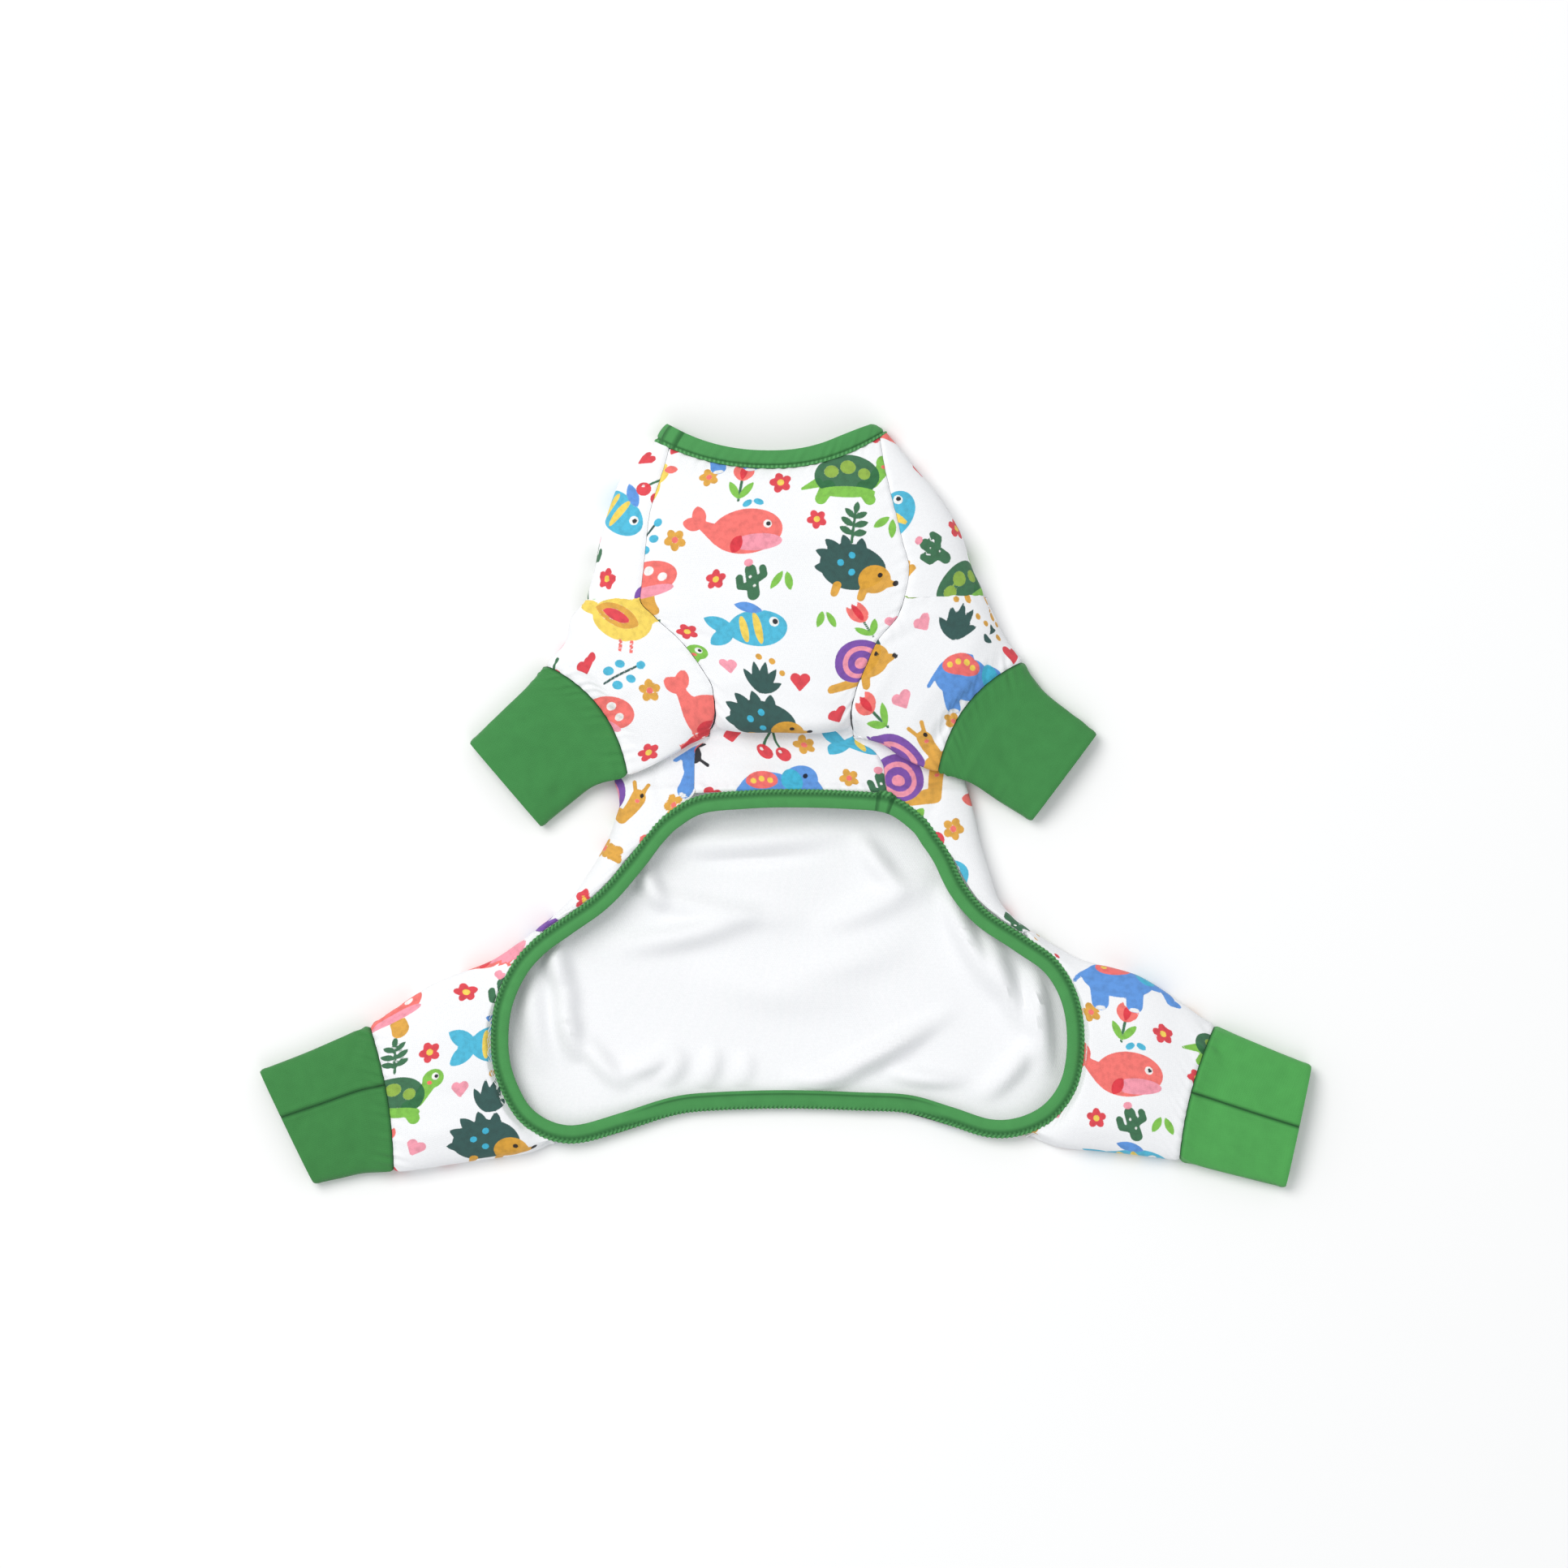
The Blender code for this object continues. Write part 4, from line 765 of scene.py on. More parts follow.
# Finishes
INK_MOTTLE = 0.80  # how dark the darker flecks of an ink are
INK_EDGE = 0.16  # half width of an ink's soft edge, in millimetres
JERSEY_WHITE = (0.880, 0.886, 0.902)
JERSEY_SHADE = (0.850, 0.856, 0.874)
GREEN = (0.050, 0.245, 0.063)
# The hind cuffs are one green rib painted in two tones for how the light falls: painted shade darkens the
# left cuff, painted light brightens the right
LEFT_HIND_SHADED_GREEN = (0.047, 0.228, 0.057)
RIGHT_HIND_LIT_GREEN = (0.078, 0.366, 0.084)
BAND_GREEN = (0.070, 0.300, 0.085)
# Colour of the painted shade in the green cloths' seam grooves, between overlock threads and along folded
# edges
PAINTED_SHADE_GREEN = (0.012, 0.085, 0.022)
THREAD_GREEN = (0.140, 0.430, 0.155)
JERSEY_KNIT = (0.0007, 0.00008)  # width of a column of stitches, and how deep it looks
RIB_KNIT = (0.0009, 0.00010)
BAND_KNIT = (0.0009, 0.00006)
KNIT_LEAN = 0.35
KNIT_WAVE = (("Distortion", 0.6), ("Detail", 1), ("Detail Scale", 2))


class Finish:
    """A cloth's material, whose nodes read the piece's own cloth map."""

    def __init__(self, name, roughness, sheen):
        self.material = bpy.data.materials.new(name)
        self.material.use_nodes = True
        self.nodes = self.material.node_tree.nodes
        self.links = self.material.node_tree.links
        self.shader = self.nodes["Principled BSDF"]
        self.shader.inputs["Roughness"].default_value = roughness
        self.shader.inputs["Sheen Weight"].default_value = sheen
        self.shader.inputs["Sheen Roughness"].default_value = 0.5
        self.shader.inputs["Specular IOR Level"].default_value = 0.25
        self.place = self.node("UVMap", uv_map="cloth")

    def node(self, kind, feeds=(), out=None, **settings):
        """Adds a node, fills or links its inputs, and gives the output called out, or else the first."""
        made = self.nodes.new("ShaderNode" + kind)
        for word, value in settings.items():
            setattr(made, word, value)
        for socket, value in feeds:
            slot = [s for s in made.inputs if s.enabled and socket in (s.name, s.identifier)][0]
            if isinstance(value, bpy.types.NodeSocket):
                self.links.new(value, slot)
            else:
                slot.default_value = (*value, 1) if isinstance(value, tuple) else value
        return [s for s in made.outputs if s.enabled and out in (None, s.name)][0]

    def mixed(self, share, first, second):
        return self.node("Mix", (("Factor", share), ("A", first), ("B", second)), data_type="RGBA")

    def eased(self, value, low, high, low_to=0.0, high_to=1.0):
        ends = (("From Min", low), ("From Max", high), ("To Min", low_to), ("To Max", high_to))
        return self.node("MapRange", (("Value", value), *ends))

    def noise(self, scale, detail, *ends):
        grain = self.node("TexNoise", (("Vector", self.place), ("Scale", scale), ("Detail", detail)), "Fac")
        return self.eased(grain, *ends)

    def note(self, word):
        return self.node("Attribute", (), "Fac", attribute_name=word)

    def added(self, first, second):
        return self.node("Math", (("Value", first), ("Value_001", second)), operation="ADD")

    def finished(self, colour, pitch, depth):
        """Takes its colour, and its fine knit: columns of stitches, each leaning to its own side."""
        self.links.new(colour, self.shader.inputs["Base Color"])
        waves = []
        for lean in (KNIT_LEAN, -KNIT_LEAN):
            feeds = (("Vector", self.place), ("Angle", lean))
            leaning = self.node("VectorRotate", feeds, rotation_type="Z_AXIS")
            feeds = (("Vector", leaning), ("Scale", 0.314 / pitch), *KNIT_WAVE)
            waves.append(self.node("TexWave", feeds, "Fac", bands_direction="X"))
        bump = self.node("Bump", (("Strength", 0.5), ("Distance", depth), ("Height", self.added(*waves))))
        self.links.new(bump, self.shader.inputs["Normal"])
        return self.material


def jersey(name, roughness, sheen, inks):
    cloth = Finish(name, roughness, sheen)
    colour = cloth.mixed(cloth.noise(700, 2, 0.3, 0.7), JERSEY_WHITE, JERSEY_SHADE)
    if inks:
        uneven = cloth.noise(1400, 1, 0.2, 0.8, -0.10, 0.10)
        mottle = cloth.noise(330, 2, 0.42, 0.70)
    for ink, tint in inks:
        share = cloth.eased(cloth.added(cloth.note("ink_" + ink), uneven), -INK_EDGE, INK_EDGE, 0.97, 0.0)
        worn = cloth.mixed(mottle, tint, tuple(v * INK_MOTTLE for v in tint))
        colour = cloth.mixed(share, colour, worn)
    return cloth.finished(colour, *JERSEY_KNIT)


def green_cloth(name, tint, sheen, knit):
    cloth = Finish(name, 0.80, sheen)
    colour = cloth.mixed(cloth.noise(160, 3, 0.25, 0.75), tint, tuple(v * 0.90 for v in tint))
    colour = cloth.mixed(cloth.eased(cloth.note("thread"), 0.0, 1.0, 0.0, 0.7), colour, THREAD_GREEN)
    # Painted shade: where seam_shade is high, the green is darkened for the shade in grooves, between
    # threads, at folded edges and over the rump's stretch of band
    colour = cloth.mixed(cloth.note("seam_shade"), colour, PAINTED_SHADE_GREEN)
    return cloth.finished(colour, *knit)


PRINTED_JERSEY = jersey("printed white jersey", 0.86, 0.10, INKS)
PLAIN_JERSEY = jersey("plain white jersey", 0.88, 0.12, ())
GREEN_RIB = green_cloth("green rib", GREEN, 0.15, RIB_KNIT)
# Lit and shaded copies of one rib: the left hind cuff has painted shade, the right painted light
HIND_RIBS = {
    "left": green_cloth("left hind rib with painted shade", LEFT_HIND_SHADED_GREEN, 0.15, RIB_KNIT),
    "right": green_cloth("right hind rib with painted light", RIGHT_HIND_LIT_GREEN, 0.15, RIB_KNIT),
}
GREEN_BAND = green_cloth("green band", BAND_GREEN, 0.10, BAND_KNIT)


def all_deselected():
    bpy.ops.object.select_all(action="DESELECT")


def one_selected(piece):
    all_deselected()
    piece.select_set(True)
    bpy.context.view_layer.objects.active = piece


def weld_sides(piece):
    """Joins the first and last columns of a rolled-up grid."""
    one_selected(piece)
    bpy.ops.object.mode_set(mode="EDIT")
    bpy.ops.mesh.select_all(action="SELECT")
    bpy.ops.mesh.remove_doubles(threshold=1e-6)
    bpy.ops.object.mode_set(mode="OBJECT")


def drop_faces(piece, gone):
    """Deletes the faces where gone is true."""
    one_selected(piece)
    bpy.ops.object.mode_set(mode="EDIT")
    bpy.ops.mesh.select_mode(type="FACE")
    bpy.ops.mesh.select_all(action="DESELECT")
    bpy.ops.object.mode_set(mode="OBJECT")
    piece.data.polygons.foreach_set("select", gone)
    bpy.ops.object.mode_set(mode="EDIT")
    bpy.ops.mesh.delete(type="FACE")
    bpy.ops.object.mode_set(mode="OBJECT")


def rounded(piece, degrees):
    one_selected(piece)
    bpy.ops.object.shade_smooth_by_angle(angle=np.radians(degrees))


def held_down(piece):
    """Keeps a finished cloth inside the opening's band where it runs under it, lets it rise beside it, and
    keeps it off the floor."""
    mesh = piece.data
    flat = np.empty(len(mesh.vertices) * 3, np.float32)
    mesh.vertices.foreach_get("co", flat)
    line = band_line(900) + SHIFT
    for part in np.array_split(flat.reshape(-1, 3), 40):
        away = np.hypot(part[:, :1] - line[:, 0], part[:, 1:2] - line[:, 1])
        beyond = np.maximum(0, away.min(axis=1) - BINDING_WIDTH / 2 + LIP_GRIP)
        most = line[away.argmin(axis=1), 2] - BINDING_THICK / 2 + LIP_RISE * beyond
        part[:, 2] = np.clip(part[:, 2], FLOOR_GAP, most)
    mesh.vertices.foreach_set("co", flat)
    mesh.update()


def cloth_piece(name, points, cloth_map, wall, finishes, closed=False, keep=None, notes=None):
    """A sheet of cloth: a flat grid is added, laid along the given points, cut out, and given its wall
    inwards. cloth_map holds each point's place on the flat cloth, and notes more numbers for the finish."""
    rows, cols = points.shape[:2]
    all_deselected()
    bpy.ops.mesh.primitive_grid_add(x_subdivisions=cols - 1, y_subdivisions=rows - 1, size=0.2)
    piece = bpy.context.object
    piece.name = name
    mesh = piece.data
    mesh.name = name
    mesh.vertices.foreach_set("co", (points + SHIFT).reshape(-1).astype(np.float32))
    corner = np.empty(len(mesh.loops), np.int32)
    mesh.loops.foreach_get("vertex_index", corner)
    place = mesh.uv_layers.active
    place.name = "cloth"
    place.data.foreach_set("uv", cloth_map.reshape(-1, 2)[corner].reshape(-1).astype(np.float32))
    for word, values in (notes or {}).items():
        layer = mesh.attributes.new(word, "FLOAT", "POINT")
        layer.data.foreach_set("value", np.asarray(values, np.float32).reshape(-1))
    for finish in finishes:
        mesh.materials.append(finish)
    if keep is not None:
        drop_faces(piece, ~keep.reshape(-1))
    if closed:
        weld_sides(piece)
    if wall:
        one_selected(piece)
        thick = piece.modifiers.new("wall", "SOLIDIFY")
        thick.thickness = wall
        thick.offset = -1
        thick.material_offset = len(finishes) - 1
        thick.material_offset_rim = len(finishes) - 1
        bpy.ops.object.modifier_apply(modifier="wall")
        held_down(piece)
    rounded(piece, 55 if wall else 80)
    return piece


def settled(piece, node):
    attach(piece, "root")
    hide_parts(node)


def jersey_piece(name, points, flow, flat, area, rests_on=(), **cut):
    notes = printed(flow, name)
    piece = cloth_piece(name, points, flow, CLOTH, [PRINTED_JERSEY, PLAIN_JERSEY], notes=notes, **cut)
    settled(piece, name)


# Back cloth
TUCK = 0.0018  # how far the cloth runs in under the opening's band
ROW_STEPS = 8
FLAT_STEPS = 118
CORNER_STEPS = 5
TOP_STEPS = 34
FOLD_FADE = 0.012  # the lining's folds end this near the trunk's sides
RIM = ((0.3, 0.03), (0.6, 0.12), (0.8, 0.3), (0.95, 0.55), (1.0, 1.0))  # shares of RIM_IN and RIM_UP
PRINT_ROW = 14 * ROW_STEPS  # the row that the print is measured from


def back_points():
    rows = np.linspace(0, len(TRUNK) - 1, (len(TRUNK) - 1) * ROW_STEPS + 1)[:, None]
    t = at_row(rows)
    low = rows > LEG_TOP
    tuck = TUCK * np.clip(rows - WAIST_END + 0.5, 0, 1)
    t["left_edge"] = np.where(low, t["left"] + 1e-7, t["left_edge"] - SEAM_GAP / 2 + tuck)
    t["right_edge"] = np.where(low, t["right"] - 1e-7, t["right_edge"] + SEAM_GAP / 2 - tuck)
    u = (np.arange(TOP_STEPS) / TOP_STEPS)[None, :]
    v = (np.arange(CORNER_STEPS) / CORNER_STEPS)[None, :]
    across = np.linspace(0, 1, FLAT_STEPS + 1)[None, :]
    x = (t["left"] + t["corner"]) * (1 - across) + (t["right"] - t["corner"]) * across
    y = line_y(t, x)
    inside = np.minimum(x - t["left"] - t["corner"], t["right"] - t["corner"] - x) / FOLD_FADE
    inside = np.clip(inside, 0, 1) * np.clip(len(TRUNK) - 1.4 - rows, 0, 1)
    floor = point(x, y, (fold_height(x, y) + ripple(x, y, 5, 0.06, 0.0004) + 0.0004) * inside)
    parts = [
        top_point(t, "left", u), corner_point(t, "left", v), floor,
        corner_point(t, "right", v)[:, ::-1], top_point(t, "right", u)[:, ::-1],
    ]
    grid = np.concatenate(parts, axis=1)
    rim = []
    for out, up in RIM:
        line = grid[-1] + np.array([0, out * RIM_IN, 0])
        line[:, 2] = np.maximum(grid[-1, :, 2], up * RIM_UP)
        rim.append(line)
    return np.concatenate([grid, np.array(rim)])


def back_panel():
    points = back_points()
    count, cols = points.shape[:2]
    run, down = runs(points)
    middle = cols // 2
    flow = np.stack([run[:, middle : middle + 1] - run, down[PRINT_ROW] - down], axis=-1)
    row = np.arange(count)[:, None] / ROW_STEPS
    column = np.arange(cols)[None, :]
    upper = (column <= TOP_STEPS) | (column >= cols - 1 - TOP_STEPS)
    edge = np.minimum(run, run[:, -1:] - run)
    hills = creased(points, 9, 0.045, 0.00035) * np.clip(edge / 0.004, 0, 1)
    points = raised(points, np.where(upper, seamed("side", down, edge) * (row < LEG_TOP) + hills, 0))
    row, column = row[:-1], column[:, :-1]
    in_top = (column < TOP_STEPS) | (column >= cols - 1 - TOP_STEPS)
    open_rows = ((row >= ARM_TOP) & (row < ARM_END)) | (row >= LEG_TOP)
    keep = ~(in_top & open_rows)
    jersey_piece("back_panel", points, flattened(points, flow, keep), (0.36, 0.345), 0.084, keep=keep)


# Chest cloth
CHEST_STEPS = 170
CHEST_ROWS = 215
CHEST_PRINT_ROW = 90
PUFF = 1.25  # how far the puff is pushed, for each unit in CHEST


def chest_lines(at):
    table = columns(CHEST_COLUMNS, CHEST)
    t = at_row(flowing(table["row"], at)[:, None])
    push = flowing(table["push"], at)[:, None] * PUFF
    lift = flowing(table["lift"], at)[:, None]
    left = t["left_edge"] + SEAM_GAP
    right = t["right_edge"] - SEAM_GAP
    u = np.linspace(1, -1, CHEST_STEPS + 1)[None, :]
    x = (left + right) / 2 + (right - left) / 2 * u
    full = 1 - np.abs(u) ** 3.5
    under_band = np.clip(at - len(CHEST) + 2, 0, 1)[:, None] ** 2
    y = line_y(t, x) - push * TRUNK_LENGTH * full - TUCK * under_band
    return point(x, y, crown_height(t, x) + lift * LOFT * full - 0.0006 * under_band)


def chest_panel():
    tries = np.linspace(0, len(CHEST) - 1, 700)
    points = chest_lines(even_steps(chest_lines(tries), CHEST_ROWS) / 699 * (len(CHEST) - 1))
    run, down = runs(points)
    middle = points.shape[1] // 2
    flow = np.stack([run - run[:, middle : middle + 1], down[CHEST_PRINT_ROW] - down], axis=-1) * [-1, 1]
    edge = np.minimum(run, run[:, -1:] - run)
    end = np.minimum(down, down[-1:] - down)
    hills = creased(points, 3, 0.05, 0.0004) * np.clip(np.minimum(edge, end) / 0.005, 0, 1)
    points = raised(points, seamed("side", down, edge) + seamed("waist", run, end) + hills)
    jersey_piece("chest_panel", points, flow, (0.145, 0.16), 0.0185, ["back_panel"])


# Limbs
TOP_COUNT = 92  # steps of a ring over its top, and along its underside
UNDER_COUNT = 60
LEAST_RISE = 0.00375  # the top stands at least this much over the sides
SIDE_ROUND = 0.006  # width of the rounded edges of the underside
OUTWARDS = {"left": -1, "right": 1}
CUFF_SEAM = {"left": 0.42, "right": 0.50}  # place of a hind cuff's seam, as a share of the way over its top
HEM_SHADE = {"front": 0.35, "hind": 0.75}  # how dark the painted shade between the overlock threads along a cuff's lower edge is
REACHES = {"front": FRONT_REACH, "hind": HIND_REACH}
# Name, flat size and area of each pair's printed cloth and of its cuffs, and the rings of the printed cloth
LIMB_CLOTHS = {"front": ("front_sleeve_", (0.16, 0.06), 0.0073), "hind": ("hind_leg_", (0.17, 0.085), 0.0128)}
LIMB_CUFFS = {"front": ("front_cuff_", (0.13, 0.058), 0.0070), "hind": ("hind_cuff_", (0.13, 0.06), 0.0075)}
LIMB_RINGS = {"front": 62, "hind": 84}
CUFF_RINGS = 58
THREAD_PITCH = 0.0022  # from one overlock thread to the next
HEM_WIDTH = 0.0022
LIMB_TABLES = {
    "front_left": FRONT_LEFT,
    "front_right": FRONT_RIGHT,
    "hind_left": HIND_LEFT,
    "hind_right": HIND_RIGHT,
}


def resample(path, count):
    """count + 1 points at even steps along a path."""
    path = np.array(path, float)
    run = np.concatenate([[0], np.cumsum(np.linalg.norm(np.diff(path, axis=0), axis=1))])
    at = np.linspace(0, run[-1], count + 1)
    return np.stack([np.interp(at, run, path[:, k]) for k in range(3)], axis=1)


def one_ring(*paths):
    """Joins paths that follow each other, each with its number of steps."""
    return np.concatenate([resample(path, count)[:-1] for path, count in paths])


def support(x, y):
    """Height of the trunk's cloth that a front sleeve lies on, at places beside the waist."""
    rows = np.arange(ARM_END, WAIST_END + 1)
    stations = at_row(rows)["left_station"]
    t = at_row(np.interp(-y, -stations, rows))
    side = np.where(x < 0, t["left"], t["right"])
    out = np.sign(x)
    beyond = np.maximum(0, out * (x - side))
    inside = side - out * 0.003
    height = crown_height(t, np.where(out * (inside - x) > 0, x, inside))
    height = height * np.clip(1 - beyond / DRAPE_FALL, 0, 1)
    north = np.maximum(0, y - stations[0])
    height = height * np.clip(1 - north / (2 * DRAPE_FALL), 0, 1)
    wall = (t["side_height"] + 0.0005) * np.clip(1.15 - beyond / (DRAPE_FALL / 2), 0, 1)
    return np.maximum(height, wall)


def limb_rings(kind, side, lines, first):
    """Closed rings of a limb at line numbers of its table. first is the ring of its root."""
    reach = REACHES[kind]
    root = ROOTS[kind + "_" + side]
    table = columns(LIMB_COLUMNS, LIMB_TABLES[kind + "_" + side])
    t = {name: flowing(values, lines)[:, None] for name, values in table.items()}
    upper = trunk_xy(*root[:2]) + reach * np.concatenate([t["upper_out"], -t["upper_down"]], axis=1)
    lower = trunk_xy(*root[2:]) + reach * np.concatenate([t["lower_out"], -t["lower_down"]], axis=1)
    upper = upper[:, None, :]
    chord = lower[:, None, :] - upper
    width = np.linalg.norm(chord, axis=-1)
    back = np.stack([chord[..., 1], -chord[..., 0]], axis=-1) / width[..., None]
    back = back * np.where(back[..., :1] * OUTWARDS[side] > 0, -1, 1)
    front = kind == "front"

    def under(p):
        if not front:
            return np.zeros(p.shape[:-1])
        height = support(p[..., 0], p[..., 1])
        return height + np.where(height > 0, DRAPE_GAP, 0)

    side = t["side_height"] * LOFT
    first_end = under(upper) + side
    last_end = under(upper + chord) + side
    s = ((1 - np.cos(np.linspace(0, np.pi, TOP_COUNT + 1))) / 2)[None, :]
    s = 0.35 * s + 0.65 * np.linspace(0, 1, TOP_COUNT + 1)[None, :]
    bow = (t["bow"] * reach * 4 * s * (1 - s))[..., None]
    p = upper + chord * s[..., None] + back * bow
    base = first_end + (last_end - first_end) * s
    rise = np.clip(1 - np.abs(2 * s - 1) ** SIDE_POWER, 0, 1) ** (1 / SIDE_POWER)
    height = base + (np.maximum(t["top"] * LOFT, base + LEAST_RISE) - base) * rise
    top = np.concatenate([p, height[..., None]], axis=-1)
    s = np.linspace(1, 0, UNDER_COUNT + 1)[None, :]
    bow = (t["bow"] * (0 if front else 1) * reach * 4 * s * (1 - s))[..., None]
    p = upper + chord * s[..., None] + back * bow
    start = np.concatenate([first[TOP_COUNT:], first[:1]])[:, :2]
    bulge = start - (start[-1] + (start[0] - start[-1]) * s[0][:, None])
    rest = np.clip(1 - (np.minimum(lines, CUFF_LINE) / CUFF_LINE) ** REST_POWER, 0, 1)
    p = p + bulge[None] * rest[:, None, None]
    near = np.minimum(1, np.minimum(s, 1 - s) * width / SIDE_ROUND)
    below = np.concatenate([p, (under(p) + side * (1 - near) ** 2)[..., None]], axis=-1)
    return np.concatenate([top[:, :-1], below[:, :-1]], axis=1)


def front_root(side):
    """Ring round an armhole: over the shoulder, down the chest seam, and back along the trunk's side."""
    out = OUTWARDS[side]
    shift = np.array([out * SEAM_GAP * 1.5, 0, 0])
    first = at_row(ARM_TOP - 0.06)
    top = list(top_point(first, side, np.linspace(1, 0, 16)) + [0, 0, 0.0004])
    top += list(top_point(at_row(np.linspace(ARM_TOP + 0.05, ARM_END - 0.12, 60)), side, 0) + shift)
    under = list(top_point(at_row(ARM_END - 0.06), side, np.linspace(0, 1, 24)) + [0, 0, 0.0006])
    t = at_row(np.linspace(ARM_END - 0.3, ARM_TOP + 0.16, 40))
    x = t[side] + out * SEAM_GAP * 4
    under += list(point(x, line_y(t, t[side]), t["side_height"] + 0.0008))
    over = TOP_COUNT // 4
    low = UNDER_COUNT // 3
    return one_ring(
        (top[:16], over), (top[15:] + under[:1], TOP_COUNT - over),
        (under[:24], low), (under[23:] + top[:1], UNDER_COUNT - low),
    )


def smooth_loop(points, count):
    """count points at even steps along a closed smooth curve through the given ones."""
    p = np.array(points, float)
    u = (np.arange(40) / 40)[:, None]
    fine = []
    for i in range(len(p)):
        a, b, c, d = p[i - 1], p[i], p[(i + 1) % len(p)], p[(i + 2) % len(p)]
        curve = 2 * b + (c - a) * u + (2 * a - 5 * b + 4 * c - d) * u**2 + (3 * b - a - 3 * c + d) * u**3
        fine.append(curve / 2)
    fine = np.concatenate(fine)
    return resample(np.concatenate([fine, fine[:1]]), count)[:-1]


def band_line(count):
    line = [(*trunk_xy(across, station), top * LOFT) for across, station, top in BINDING]
    return smooth_loop(line, count)


def outwards_of(line):
    """Level directions outwards of a closed line."""
    along = np.roll(line, -1, axis=0) - np.roll(line, 1, axis=0)
    along[:, 2] = 0
    along /= np.linalg.norm(along, axis=1, keepdims=True)
    outwards = np.stack([along[:, 1], -along[:, 0], np.zeros(len(line))], axis=1)
    if (outwards * (line - line.mean(axis=0))).sum() < 0:
        outwards = -outwards
    return outwards


def hind_root(side):
    """Ring round a leg hole: along the outside of the opening's band, and back along the floor cloth."""
    out = OUTWARDS[side]
    first = at_row(LEG_TOP - 0.06)
    top = list(top_point(first, side, np.linspace(1, 0.4, 8)) + [out * SEAM_GAP, 0, 0.0004])
    line = band_line(900)
    outwards = outwards_of(line)
    middle = trunk_xy(0, 0.86)
    band = line + outwards * (BINDING_WIDTH / 2 - 0.0012) - [0, 0, 0.0012]
    low = trunk_xy(*ROOTS["hind_" + side][2:])
    chosen = (band[:, 1] < top[-1][1] - 0.0003) & (out * band[:, 0] > out * low[0])
    band = band[chosen]
    turn = np.arctan2(band[:, 1] - middle[1], out * (band[:, 0] - middle[0]))
    top += list(band[np.argsort(-turn)])
    rows = np.linspace(LEG_TOP + 0.15, len(TRUNK) - 1, 50)
    t = at_row(rows)
    edge = point(t[side] + out * (SEAM_GAP - LEG_TUCK), line_y(t, t[side]), t["side_height"])
    turn = np.array([top[-1][0], top[-1][1] - 0.0003, t["side_height"][-1]])
    under = [turn] + list(edge[::-1]) + [top[0]]
    over = TOP_COUNT // 8
    return one_ring((top[:8], over), (top[7:] + under[:1], TOP_COUNT - over), (under, UNDER_COUNT))


def rolled_up(points):
    """Starts each ring in the middle of the underside, and closes it with its first point again. The second
    value gives the column number of a share of the way over the top."""
    points = np.roll(points, UNDER_COUNT // 2, axis=1)
    points = np.concatenate([points, points[:, :1]], axis=1)
    middle = points.mean(axis=1, keepdims=True)
    turned = faces_inwards(points, middle)
    if turned:
        points = points[:, ::-1]

    def column(share):
        found = UNDER_COUNT // 2 + round(TOP_COUNT * share)
        return points.shape[1] - 1 - found if turned else found

    return points, column


def limb_flow(points):
    """Place of each point on the flat cloth, and its distances round the limb and down it."""
    run, down = runs(points)
    middle = points.shape[1] // 2
    return np.stack([run - run[:, middle : middle + 1], down], axis=-1), run, down


def limb_hills(points, up, down, seed, size, height, fade):
    """Creases of a limb's upper side, which fade towards its two seams."""
    inside = np.minimum(down, down[-1:] - down) / fade
    return creased(points, seed, size, height) * up * np.clip(inside, 0, 1)


def facing_up(points):
    """1 where a grid looks up, and 0 where it looks aside or down."""
    return np.clip(facing(points)[..., 2] * 3, 0, 1)


def limb_cloth(kind, side, first):
    """The printed sleeve or leg, which leaves the ring of its root on a smooth curve."""
    name, flat, area = LIMB_CLOTHS[kind]
    lines = np.linspace(0, CUFF_LINE, LIMB_RINGS[kind])
    rings = limb_rings(kind, side, lines, first)
    joined = limb_rings(kind, side, np.array([1, 1.05]), first)
    slope = (joined[1] - joined[0]) / 0.05
    near = np.minimum(lines, 1)[:, None, None]
    start = first + (joined[0] - first) * near * near * (3 - 2 * near)
    start = start + (joined[0] - first) * near * (1 - near) ** 2 + slope * near * near * (near - 1)
    points = rolled_up(np.where(near < 1, start, rings))[0]
    flow, run, down = limb_flow(points)
    lift = seamed("limb", run, down) + seamed("sleeve_end", run, down[-1:] - down)
    points = raised(points, lift + limb_hills(points, facing_up(points), down, 11, 0.04, 0.0004, 0.005))
    jersey_piece(name + side, points, flattened(points, flow), flat, area, ["back_panel"], closed=True)


